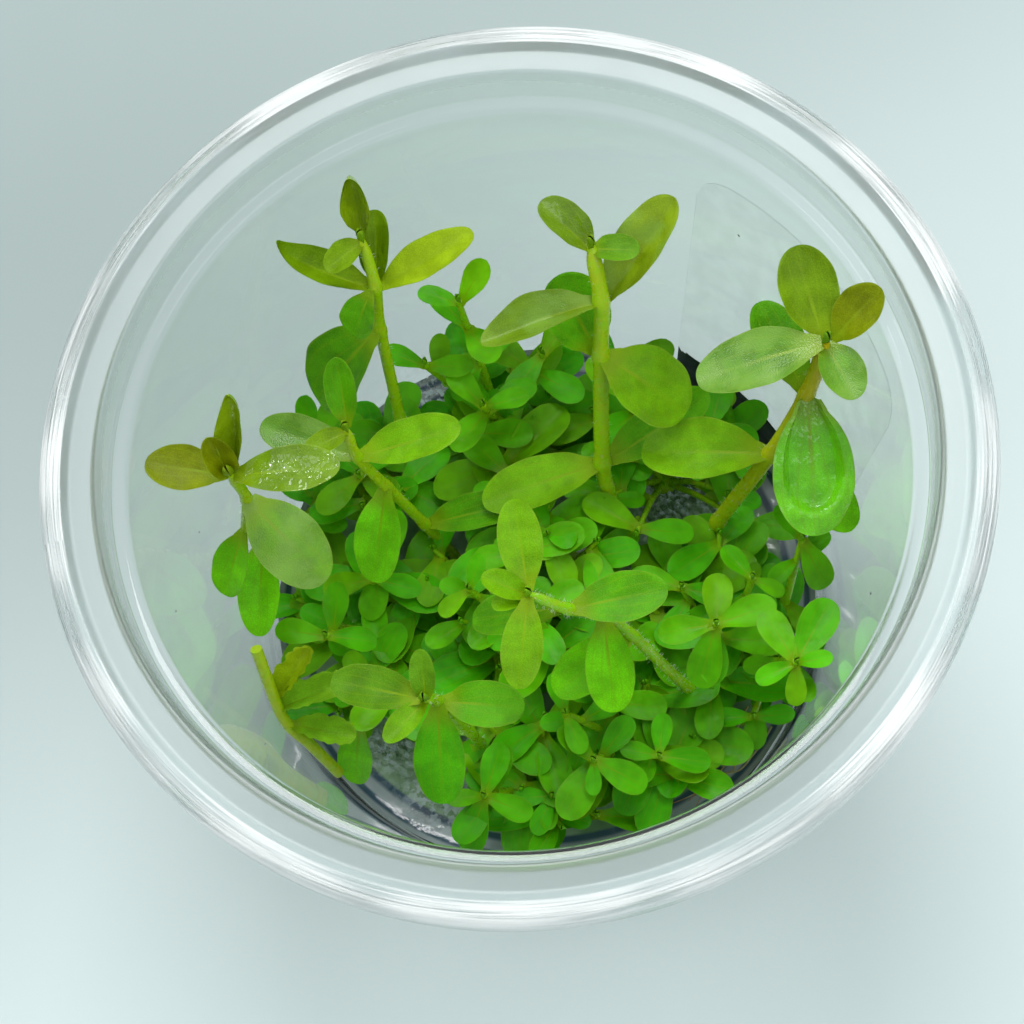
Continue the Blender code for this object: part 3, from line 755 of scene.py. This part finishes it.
def blade_grid(neck_share, rows, columns):
    """Rings round a blade: place along it, place across it, and 0 for its top or 1 for its underside."""
    along = np.concatenate([np.linspace(-neck_share, -0.01, 3),
                            0.5 - 0.5 * np.cos(np.linspace(0, 0.97 * np.pi, rows))])
    across = np.sin(np.linspace(0.5 * np.pi, -0.5 * np.pi, columns))
    ring = np.concatenate([across, across[-2:0:-1]])
    under = np.concatenate([np.zeros(columns), np.ones(columns - 2)])
    return along[:, None], ring[None, :], under[None, :]


def blade_widths(shape, t, s, shift, phases):
    """Half the width of a leaf along it, with a torn edge and a narrowed tip where it has them."""
    half = outline(t, shift) * shape.width
    notch = np.abs(np.sin(19 * t + phases[0]) * np.sin(43 * t + phases[1] + 2 * np.sign(s)))
    narrowed = min(POINTED * shape.hook, 0.8) * np.clip((t - 0.4) / 0.6, 0, 1) ** 1.3
    return half * (1 - shape.torn * notch) * (1 - narrowed)


def blade_relief(shape, t, s, under, half, wave, lean):
    """Height of a flat blade's two faces: groove, rib, cup, ledge, waves, lean and a hooked tip."""
    inside = np.clip(t, 0.0, 1.0)
    middle = np.exp(-(s / RIB_WIDTH) ** 2)
    thick = BLADE_EDGE + (BLADE_MIDDLE - BLADE_EDGE) * (1 - s ** 2) + RIB_DEPTH * middle * (1 - inside)
    edge = np.clip((np.abs(s) ** 3 + np.clip((t - 0.4) / 0.6, 0, 1) ** 3) ** (1 / 3), 0, 1)
    ledge = np.clip((edge - 0.60) / 0.14, 0, 1)
    ledge = ledge * ledge * (3 - 2 * ledge)
    above = -GROOVE * middle * (1 - inside) * np.clip(t * 8, 0, 1) - under * thick
    above = above + 0.5 * shape.width * (shape.cup * edge ** 3 * np.clip(t * 6, 0, 1) + shape.rim * ledge)
    above = above + half * (wave * s ** 2 * np.sign(s + 0.001) + lean * s * inside)
    return above + shape.hook * shape.length * np.clip((t - 0.7) / 0.3, 0, 1) ** 2


def blade_part(shape, foot, neck, grid, rng, shift=BLADE_SHIFT, finish=0):
    """A leaf: a thin closed blade with a rib below and a groove above, and a short neck back to its stem."""
    t, s, under = blade_grid(neck / shape.length, *grid)
    wave = WAVES[0] * np.sin(math.tau * (1.2 * t + rng.random()))
    wave = wave + WAVES[1] * np.sin(math.tau * (2.9 * t + rng.random()))
    lean = LEAN * rng.uniform(-1, 1)
    phases = (rng.uniform(0, 6), rng.uniform(0, 6))
    half = blade_widths(shape, t, s, shift, phases)
    above = blade_relief(shape, t, s, under, half, wave, lean)
    aside = s * half
    bend = math.radians(shape.curl) or LEAST_CURL
    fold = math.radians(shape.fold) * np.clip(1 - t ** 3 * 0.5, 0, 1)
    swept = np.where(t < 0, t, np.sin(bend * t) / bend) * shape.length
    drop = np.where(t < 0, 0, (1 - np.cos(bend * t)) / bend) * shape.length
    lift = above + (np.sqrt(aside ** 2 + VALLEY ** 2) - VALLEY) * np.sin(fold)
    turn = bend * np.clip(t, 0, 1)
    local = np.stack([swept + lift * np.sin(turn), aside * np.cos(fold) + 0 * lift,
                      -drop + lift * np.cos(turn)], -1).reshape(-1, 3)
    raised = 0.5 * shape.width * (shape.cup + shape.rim) + shape.hook * shape.length
    tip = np.array([[shape.length * math.sin(bend) / bend + raised * math.sin(bend), 0.0,
                     raised * math.cos(bend) - shape.length * (1 - math.cos(bend)) / bend]])
    points = np.vstack([local, tip]) @ leaf_axes(shape.heading, shape.rise).T + np.array(foot)
    size = s.shape[1]
    last = len(local)
    faces = ring_faces(len(t), size)
    faces += [(last - size + j, last - size + (j + 1) % size, last) for j in range(size)]
    faces.append(tuple(reversed(range(size))))
    fields = np.stack(np.broadcast_arrays(s, np.clip(t, -0.2, 1), under), -1).reshape(-1, 3)
    fields = np.vstack([fields, [[0, 1, 0]]])
    tints = np.tile(np.array(shape.tint) * rng.uniform(0.92, 1.08), (len(points), 1))
    return Part(points, faces, fields, tints, finish)


def beside(node, heading, distance):
    """The foot of a leaf: a distance out from the middle of its node."""
    angle = math.radians(heading)
    return Vector(node) + Vector((math.cos(angle), math.sin(angle), 0)) * distance


def hairs(route, radii, count, rng, finish):
    """Fine pale hairs that stand out from a stem."""
    parts = []
    for _ in range(count):
        i = rng.randrange(1, len(route) - 1)
        along = (route[i + 1] - route[i - 1]).normalized()
        side = along.orthogonal().normalized()
        out = Matrix.Rotation(rng.uniform(0, math.tau), 3, along) @ side
        start = route[i] + out * radii[i] * 0.9
        reach = HAIR_LENGTH * rng.uniform(0.5, 1.1)
        end = start + (out + along * rng.uniform(-0.3, 0.5)) * reach
        middle = start.lerp(end, 0.5) + along * reach * 0.12
        parts.append(tube([start, middle, end], HAIR_RADII, 3, HAIR_WHITE, finish))
    return parts


def apex(place, heading, size, tint, rng):
    """The folded pair of new leaves at the very tip of a shoot."""
    parts = []
    for turn in (0, 180):
        young = Leaf("", 0, heading + turn, 68, size, size * 0.55, curl=-35, fold=40, tint=tint)
        parts.append(blade_part(young, place, 0.2, APEX_GRID, rng, finish=1))
    return parts


def stem_radii(route, nodes, radius):
    """A tall stem's radius along it: thinner towards its tip and a little swollen at its nodes."""
    last = len(route) - 1
    radii = []
    for i, place in enumerate(route):
        nearest = min((place - node).length for node in nodes)
        swelling = 1.0 + NODE_SWELLING * math.exp(-(nearest / NODE_REACH) ** 2)
        taper = min(1.0, TIP_SHARE + (last - i) * STEM_STEP / TIP_TAPER)
        radii.append(radius * STEM_SLIMMING * swelling * taper * (1.0 - STEM_THINNING * i / last))
    return radii


def make_shoot(name, shoot, finishes):
    """A rooted stem with its young tip and its hairs, and a separate blade for each large leaf."""
    rng = random.Random(f"shoot {name}")
    points = [(*shoot.nodes[0], ROOTED), (*shoot.nodes[0], GEL_TOP + UPRIGHT_IN_GEL), *shoot.nodes[1:]]
    route = smooth_route(points, STEM_STEP)
    top = Vector(points[-1])
    radii = stem_radii(route, [Vector(p) for p in points[2:]], shoot.radius)
    height = np.linspace(0, 1, len(route))[:, None]
    tints = np.array(STEM_GREEN) * (1 - height) + np.array(shoot.tint) * height
    parts = [tube(route, radii, STEM_SIDES, tints)]
    parts += hairs(route, radii, STEM_HAIRS.get(name, FEWEST_HAIRS), rng, 2)
    for shape in shoot.bud:
        foot = beside(top - Vector((0, 0, BUD_DEPTH)), shape.heading, LEAF_INSET)
        parts.append(blade_part(shape, foot, 0.3, BUD_GRID, rng, finish=BUD_FINISHES[shape.gloss]))
    young = shoot.bud[0]
    parts += apex(top + Vector((0, 0, APEX_LIFT)), young.heading + 90, 2.3, young.tint, rng)
    materials = [finishes[kind] for kind in ("stem", "leaf", "hair", "wet_leaf", "silky_leaf")]
    publish(f"{name}_stem", parts, materials, f"stem_{name}")
    for shape in shoot.leaves:
        node = f"leaf_{name}_{shape.name}"
        foot = beside(shoot.nodes[shape.node], shape.heading, shoot.radius + LEAF_CLEAR)
        blade = blade_part(shape, foot, shoot.radius * 0.6 + LEAF_CLEAR, LARGE_GRID, rng)
        finish = finishes[f"{shape.gloss}_leaf" if shape.gloss else "leaf"]
        publish(f"{name}_{shape.name}_blade", [blade], [finish], node)


def wall_radius(height):
    """Radius of the cup's inner wall at a height."""
    along = (height - WALL_LOW[1]) / (WALL_HIGH[1] - WALL_LOW[1])
    return WALL_LOW[0] + (WALL_HIGH[0] - WALL_LOW[0]) * along


def hides_gel(point, half):
    """Whether a leaf there would cover one of the places where the camera sees the gel."""
    eye = Vector(CAMERA_PLACE)
    seen = eye + (point - eye) * (GEL_TOP - eye.z) / (point.z - eye.z)
    return any(math.hypot(seen.x - x, seen.y - y) < radius + half for (x, y), radius in GEL_SHOWN)


def fitted(node, heading, rise, length):
    """A leaf's length, cut back until its tip clears the gel, the wall and the open gel, or 0."""
    lean = math.radians(rise)
    while length > SHORTEST_LEAF:
        tip = beside(node, heading, length * math.cos(lean)) + Vector((0, 0, length * math.sin(lean)))
        clear = math.hypot(tip.x, tip.y) < wall_radius(tip.z) - WALL_CLEAR and tip.z > GEL_TOP + 1
        if clear and not hides_gel(tip, 0.0) and not hides_gel(node.lerp(tip, 0.5), 1.0):
            return length
        length -= 0.4
    return 0.0


def fill_tops():
    """Tops of the short shoots that fill the space between the others, listed by the nearest clump."""
    rng = random.Random("fill")
    tops = {name: [] for name in CLUMPS}
    reach = int(wall_radius(FILL_LOW) / FILL_SPACING) + 1
    for row in range(-reach, reach + 1):
        for column in range(-reach, reach + 1):
            x = FILL_SPACING * (column + 0.5 * (row % 2)) + rng.uniform(-FILL_JITTER, FILL_JITTER)
            y = FILL_SPACING * math.sqrt(0.75) * row + rng.uniform(-FILL_JITTER, FILL_JITTER)
            inward = max(1.0 - (math.hypot(x, y) / wall_radius(FILL_LOW)) ** 2, 0.0)
            top = Vector((x, y, FILL_LOW + FILL_RISE * inward + rng.uniform(*FILL_UNEVEN)))
            if math.hypot(x, y) < wall_radius(top.z) - FILL_WALL_CLEAR and not hides_gel(top, 1.5):
                nearest = min(CLUMPS, key=lambda name: math.dist(CLUMPS[name][0], (x, y)))
                tops[nearest].append(top)
    return tops


def height_tint(z, rng):
    """Deep green near the gel, fresh green above, now and then a yellower leaf."""
    share = min(max((z - 10.0) / 20.0, 0.0), 1.0)
    colour = np.array(LOW_DEEP) * (1 - share) + np.array(LOW_FRESH) * share
    yellow = rng.choice((0.0, 0.0, 0.1, 0.2, 0.45))
    return tuple(colour * (1 - yellow) + np.array(LOW_YELLOW) * yellow)


def leafy_stem(route, radius, pairs, rng):
    """A thin stem with its leaves: each has its share of the route, its heading, rise and length."""
    last = len(route) - 1
    radii = [radius * (1.0 - LOW_STEM_THINNING * i / last) for i in range(last + 1)]
    parts = [tube(route, radii, LOW_STEM_SIDES, STEM_GREEN)]
    for share, heading, rise, length in pairs:
        place = route[int(share * last)]
        shape = Leaf("", 0, heading, rise, length, length * LOW_LEAF_WIDTH, curl=rng.uniform(5, 25),
                     fold=rng.uniform(4, 18), tint=height_tint(place.z, rng), cup=rng.uniform(-0.05, 0.2))
        foot = beside(place, heading, LEAF_INSET)
        parts.append(blade_part(shape, foot, 0.3, LOW_GRID, rng, shift=LOW_LEAF_SHIFT, finish=1))
    return parts


def pairs_at(route, levels, first_heading, spread, rises, rng):
    """Opposite leaves at each level of a route, as long as there is room for.

    A level is a share of the route, a turn from the first heading, and the shortest and longest leaf.
    """
    found = []
    for share, turn, lengths in levels:
        place = route[int(share * (len(route) - 1))]
        for side in (0, 180):
            heading = first_heading + turn + side + rng.uniform(-spread, spread)
            rise = rng.uniform(*rises)
            size = fitted(place, heading, rise, rng.uniform(*lengths))
            if size:
                found.append((share, heading, rise, size))
    return found


def root_threads(rng):
    """Thin wiry roots that lie on the gel along the wall, reddish at their tips."""
    parts = []
    for _ in range(ROOT_COUNT):
        first, last = rng.uniform(*ROOTS_START), rng.uniform(*ROOTS_END)
        radius = rng.uniform(*ROOTS_OUT)
        points = []
        for i in range(ROOT_BENDS + 1):
            angle = math.radians(first + (last - first) * i / ROOT_BENDS)
            out = radius + rng.uniform(-0.9, 0.9)
            points.append((out * math.cos(angle), out * math.sin(angle), GEL_TOP + rng.uniform(0.1, 1.6)))
        route = smooth_route(points, 0.5)
        fade = np.linspace(0, 1, len(route))[:, None] ** 3
        tints = np.array(ROOT_BROWN) * (1 - fade) + np.array(ROOT_RED) * fade
        parts.append(tube(route, np.linspace(*ROOT_RADII, len(route)).tolist(), 7, tints, 2))
    return parts


def low_route(base, *tops):
    """The way of a clump's stem from the crown at its base, bowed upwards, to its top."""
    start = (*base, CROWN_TOP - STEM_IN_CROWN)
    middle = Vector((*base, CROWN_TOP)).lerp(Vector(tops[0]), 0.5) + Vector((0, 0, LOW_STEM_BOW))
    return smooth_route([start, middle, *tops], LOW_STEM_STEP)


def make_clump(name, base, stems, fill, finishes):
    """The stems and leaves of a clump, with the lower leaves and short shoots that fill it."""
    rng = random.Random(name)
    crown = [Vector((*base, height)) for height in (ROOTED, GEL_TOP, CROWN_TOP)]
    parts = [tube(crown, CROWN_RADII, 12, STEM_GREEN)]
    for top, leaves in stems:
        route = low_route(base, top, Vector(top) + Vector((0, 0, BUD_HEIGHT)))
        heading, _, reach = leaves[0]
        levels = [(share, 90 * i, (0.825 * reach, 1.21 * reach)) for i, share in enumerate(LOWER_PAIRS)]
        pairs = [(TOP_LEAVES, *young) for young in leaves]
        pairs += pairs_at(route, levels, heading + 90, 16, (0, 28), rng)
        parts += leafy_stem(route, LOW_STEM_RADIUS, pairs, rng)
        parts += apex(route[-1], heading + 90, 1.6, FRESH, rng)
    for top in fill:
        route = low_route(base, top)
        heading = rng.uniform(0, 360)
        pairs = pairs_at(route, FILL_PAIRS, heading, 18, (-4, 30), rng)
        parts += leafy_stem(route, LOW_STEM_RADIUS * 0.8, pairs, rng)
        parts += apex(route[-1], heading + 90, 1.5, LOW_FRESH, rng)
    if name in CLUMPS_WITH_ROOTS:
        parts += root_threads(rng)
    materials = [finishes["stem"], finishes["low_leaf"], finishes["root"]]
    publish(f"{name}_growth", parts, materials, name)


def make_fallen_shoot(finishes):
    """The cut shoot that leans on the wall, with creased leaves."""
    rng = random.Random("fallen shoot")
    route = smooth_route(FALLEN_STEM, STEM_STEP)
    parts = [tube(route, [LOW_STEM_RADIUS + 0.1] * len(route), LOW_STEM_SIDES, STEM_OLIVE)]
    side_route = smooth_route(FALLEN_SIDE_STEM, STEM_STEP)
    parts.append(tube(side_route, [LOW_STEM_RADIUS * 0.7] * len(side_route), LOW_STEM_SIDES, STEM_GREEN))
    for foot, shape in FALLEN_LEAVES:
        parts.append(blade_part(shape, foot, 0.4, FALLEN_GRID, rng, finish=1))
    materials = [finishes["stem"], finishes["leaf"]]
    publish("fallen_shoot_growth", parts, materials, "fallen_shoot")


def filleted(profile):
    """A profile with each of its corners rounded by a few points."""
    points = [np.array(p, float) for p in profile]
    rounded = [points[0]]
    for before, corner, after in zip(points, points[1:], points[2:]):
        reach_in = min(FILLET, 0.45 * np.linalg.norm(corner - before))
        reach_out = min(FILLET, 0.45 * np.linalg.norm(after - corner))
        start = corner + (before - corner) / np.linalg.norm(before - corner) * reach_in
        end = corner + (after - corner) / np.linalg.norm(after - corner) * reach_out
        for i in range(FILLET_STEPS + 1):
            t = i / FILLET_STEPS
            rounded.append((1 - t) ** 2 * start + 2 * t * (1 - t) * corner + t * t * end)
    return rounded + [points[-1]]


def turned(profile, sides, finish=0):
    """A closed round body from a profile of radius and height that starts and ends on the axis."""
    angles = np.linspace(0, math.tau, sides, endpoint=False)
    rings = [np.stack([r * np.cos(angles), r * np.sin(angles), np.full(sides, z)], -1)
             for r, z in profile[1:-1]]
    ends = np.array([[0, 0, profile[0][1]], [0, 0, profile[-1][1]]])
    points = np.vstack([ends, *rings])
    faces = ring_faces(len(rings), sides, 2)
    last = 2 + (len(rings) - 1) * sides
    for j in range(sides):
        k = (j + 1) % sides
        faces.append((0, 2 + k, 2 + j))
        faces.append((1, last + j, last + k))
    return Part(points, faces, np.zeros_like(points), np.ones_like(points), finish)


def wall_specks():
    """Tiny dark crumbs stuck to the inside of the wall."""
    parts = []
    for angle, height, length in WALL_SPECKS:
        turn = math.radians(angle)
        reach = wall_radius(height) - SPECK_RADIUS
        middle = Vector((reach * math.cos(turn), reach * math.sin(turn), height))
        along = Vector((-math.sin(turn), math.cos(turn), 0.8)).normalized() * 0.5 * length
        radii = [0.3 * SPECK_RADIUS, SPECK_RADIUS, 0.3 * SPECK_RADIUS]
        parts.append(tube([middle - along, middle, middle + along], radii, 7, SPECK_DARK, 2))
    return parts


def make_cup(finishes):
    """The clear shell: flat foot, tapered wall, ledge, flange and a frosted, turned-down edge."""
    outside = [
        (0, 0), (FOOT_RADIUS, 0), FOOT_EDGE,
        (WALL_LOW[0] + WALL, WALL_LOW[1]), (WALL_HIGH[0] + WALL, LEDGE_UNDER),
        (LEDGE_BACK[0] + WALL, WALL_HIGH[1]), (MOUTH_EDGE[0] + WALL, FLANGE_UNDER),
        (RIM_RADIUS - WALL - EDGE_ROUNDING, FLANGE_UNDER), (RIM_RADIUS - WALL, SKIRT_LOW),
        (RIM_RADIUS, SKIRT_LOW), (RIM_RADIUS, CUP_HEIGHT - EDGE_ROUNDING),
        (RIM_RADIUS - EDGE_ROUNDING, CUP_HEIGHT), (BEAD_INNER + EDGE_ROUNDING, CUP_HEIGHT),
    ]
    inside = [
        (BEAD_INNER, MOUTH_EDGE[1]), MOUTH_EDGE, LEDGE_BACK, LEDGE_LIP, WALL_HIGH, WALL_LOW, FLOOR_EDGE,
        (FOOT_RADIUS, FLOOR_TOP), (0, FLOOR_TOP),
    ]
    shell = turned(filleted(outside + inside), CUP_SIDES)
    reach = np.hypot(shell.points[:, 0], shell.points[:, 1])
    frosted = [int(min(reach[list(face)]) > FROST_FROM) for face in shell.faces]
    parts = [shell._replace(finish=frosted), *wall_specks()]
    publish("cup_shell", parts, [finishes["cup"], finishes["frosted"], finishes["root"]], "cup")


def nearness(x, y, place, radius):
    """How near points are to a place: 1 there, falling smoothly over about radius."""
    return np.exp(-((x - place[0]) ** 2 + (y - place[1]) ** 2) / radius ** 2)


def gel_height(x, y, waves):
    """Height of the gel's skin: a slow swell, broken lumps in places and a rise at the wall."""
    height = np.full_like(x, GEL_TOP - GEL_SAG)
    for size, wave_x, wave_y, phase in waves:
        height = height + size * np.sin(wave_x * x + wave_y * y + phase)
    rough = np.abs(np.sin(2.3 * x + 1.1 * np.sin(1.7 * y)) * np.cos(2.1 * y + 1.3 * np.sin(1.9 * x)))
    for place, radius, lift in GEL_LUMPS:
        height = height + nearness(x, y, place, radius) * lift * (rough - 0.3)
    reach = wall_radius(GEL_TOP) - GAP
    return height + MENISCUS * np.exp(-(reach - np.hypot(x, y)) / MENISCUS_WIDTH)


def make_gel(finishes):
    """The disc of gel, its skin a fine grid. Its tint says how near a point is to the broken lumps."""
    rng = random.Random("gel")
    waves = [(0.16 / (i + 1) ** 2, rng.uniform(-0.5, 0.5) * (i + 1), rng.uniform(-0.5, 0.5) * (i + 1),
              rng.uniform(0, math.tau)) for i in range(5)]
    low = FLOOR_TOP + GAP
    reach = wall_radius(GEL_TOP) - GAP
    profile = [(0, low), (FOOT_RADIUS - GAP, low), (wall_radius(WALL_LOW[1]) - GAP, WALL_LOW[1] + GAP)]
    profile += [(r, GEL_TOP) for r in np.linspace(reach, reach / GEL_RINGS, GEL_RINGS)] + [(0, GEL_TOP)]
    part = turned(profile, GEL_SECTORS)
    skin = part.points[:, 2] == GEL_TOP
    part.points[skin, 2] = gel_height(part.points[skin, 0], part.points[skin, 1], waves)
    x, y = part.points[:, 0], part.points[:, 1]
    lumps = sum(nearness(x, y, place, radius) for place, radius, _ in GEL_LUMPS)
    part = part._replace(tint=np.repeat(lumps[:, None], 3, 1))
    publish("gel_disc", [part], [finishes["gel"]], "gel")


def make_label(finishes):
    """A thin film round the outside of the wall, with round corners and a dark block at its foot."""
    columns, rows = LABEL_GRID
    outer = columns * rows
    angles = np.linspace(LABEL_FROM, LABEL_TO, columns)
    middle_radius = wall_radius(0.5 * (LABEL_LOW + LABEL_HIGH)) + WALL
    points, faces, finish = [], [], []
    for lift in (0.0, LABEL_THICKNESS):
        for angle in angles:
            edge = math.radians(min(angle - LABEL_FROM, LABEL_TO - angle)) * middle_radius
            cut = max(LABEL_CORNER - edge, 0.0)
            inset = LABEL_CORNER - math.sqrt(max(LABEL_CORNER ** 2 - cut ** 2, 0.0))
            turn = math.radians(angle)
            for height in np.linspace(LABEL_LOW + inset, LABEL_HIGH - inset, rows):
                radius = wall_radius(height) + WALL + GAP + lift
                points.append((radius * math.cos(turn), radius * math.sin(turn), height))
    for i in range(columns - 1):
        for a in range(i * rows, (i + 1) * rows - 1):
            faces.append((a, a + 1, a + rows + 1, a + rows))
            faces.append((outer + a, outer + a + rows, outer + a + rows + 1, outer + a + 1))
            finish += [int(angles[i] >= BLOCK_FROM and points[a][2] < BLOCK_HIGH)] * 2
    border = [*range(0, outer - rows, rows), *range(outer - rows, outer),
              *range(outer - rows - 1, 0, -rows), *range(rows - 2, 0, -1)]
    for a, b in zip(border, border[1:] + border[:1]):
        faces.append((a, b, outer + b, outer + a))
        finish.append(2)
    film = Part(np.array(points), faces, np.zeros((2 * outer, 3)), np.ones((2 * outer, 3)), finish)
    publish("label_film", [film], [finishes["film"], finishes["block"], finishes["edge"]], "label")


def make_floor():
    """A pale surface for the cup to stand on, with painted light falloff: shaded to the back left, lit to the
    front right, under a faint grain.
    """
    bpy.ops.mesh.primitive_plane_add(size=FLOOR_SIZE, location=(0, 0, -FLOOR_DROP * MM))
    floor = bpy.context.object
    floor.name = "floor"
    made, tree, shader = material("pale_floor", Roughness=0.6)
    x, y, _ = axes(tree, place_field(tree))
    # Painted light falloff: shaded towards the back left, lit towards the front right
    slant = maths(tree, "SUBTRACT", maths(tree, "MULTIPLY", x, 0.35), y)
    shade = maths(tree, "ADD", ramp(tree, slant, *FLOOR_PAINTED_FALLOFF), speckle(tree, 60.0, 0.0, 0.04))
    feed(tree, shader, Base_Color=mix(tree, shade, FLOOR_PAINTED_SHADE, FLOOR_PAINTED_LIGHT))
    floor.data.materials.append(made)


def area_light(name, place, size, power, colour):
    """A soft square light that faces the cup's middle and doesn't show through the clear plastic."""
    lamp = bpy.data.lights.new(name, "AREA")
    lamp.size = size
    lamp.energy = power
    lamp.color = colour
    made = bpy.data.objects.new(name, lamp)
    made.location = place
    made.rotation_mode = "QUATERNION"
    made.rotation_quaternion = (Vector(place) - Vector(LIGHTS_AIM)).to_track_quat("Z", "Y")
    made.visible_transmission = False
    bpy.context.scene.collection.objects.link(made)
    return made


def only_plants(lamp):
    """Keeps a lamp off everything but the leaves, the stems and the gel."""
    plants = bpy.data.collections.new(f"{lamp.name}_plants")
    for piece in bpy.context.scene.objects:
        if piece.name.endswith(("_blade", "_stem", "_growth", "_disc")):
            plants.objects.link(piece)
    lamp.light_linking.receiver_collection = plants


def make_lights():
    """The lights of the two lists and a pale sky."""
    for row in SOFT_LIGHTS:
        area_light(*row)
    for row in GLINTS:
        only_plants(area_light(*row))
    world = bpy.data.worlds.new("sky")
    world.use_nodes = True
    world.node_tree.nodes["Background"].inputs["Color"].default_value = (*SKY, 1.0)
    world.node_tree.nodes["Background"].inputs["Strength"].default_value = SKY_STRENGTH
    bpy.context.scene.world = world


def make_camera():
    """The photograph's view: steeply down into the cup, a little turned."""
    data = bpy.data.cameras.new("camera")
    data.sensor_width = SENSOR_WIDTH
    data.lens = FOCAL_PIXELS / PICTURE_WIDTH * SENSOR_WIDTH
    camera = bpy.data.objects.new("camera", data)
    tilt = Matrix.Rotation(math.radians(90 - CAMERA_PITCH), 4, "X")
    roll = Matrix.Rotation(math.radians(CAMERA_ROLL), 4, "Z")
    camera.matrix_world = Matrix.Translation(Vector(CAMERA_PLACE) * MM) @ tilt @ roll
    bpy.context.scene.collection.objects.link(camera)
    bpy.context.scene.camera = camera


def make_finishes():
    """Every material of the plant, the gel, the cup and the label."""
    return {
        "leaf": leaf_material("leaf_skin"),
        # Shinier leaves with pale patches of painted sheen
        "silky_leaf": leaf_material("shiny_painted_sheen_leaf_skin", shine=0.5, rough=(0.24, 0.46), painted_sheen=0.45),
        "low_leaf": leaf_material("low_leaf_skin", shine=0.12, fine=False),
        "wet_leaf": leaf_material("wet_leaf_skin", wet=True),
        "stem": stem_material(),
        "hair": plain_tint_material("hair", 0.4, 0.3),
        "root": plain_tint_material("root", 0.35, 0.8),
        "cup": cup_material(),
        "gel": gel_material(),
        "frosted": frosted_material(),
        "film": film_material("label_film", (0.99, 1.0, 0.985), 0.02, 1.0, 1.06),
        "block": film_material("label_block", (0.028, 0.075, 0.065), 0.40, 0.0, 1.45),
        "edge": film_material("label_edge", (0.62, 0.74, 0.72), 0.40, 0.0, 1.45),
    }


def main():
    """Builds every piece, the floor, the lights and the camera."""
    finishes = make_finishes()
    make_cup(finishes)
    make_gel(finishes)
    make_label(finishes)
    for name, shoot in SHOOTS.items():
        make_shoot(name, shoot, finishes)
    fill = fill_tops()
    for name, (base, stems) in CLUMPS.items():
        make_clump(name, base, stems, fill[name], finishes)
    make_fallen_shoot(finishes)
    make_floor()
    make_lights()
    make_camera()
    bpy.context.scene.view_settings.view_transform = "Standard"
    bpy.context.scene.cycles.diffuse_bounces = DIFFUSE_BOUNCES


main()
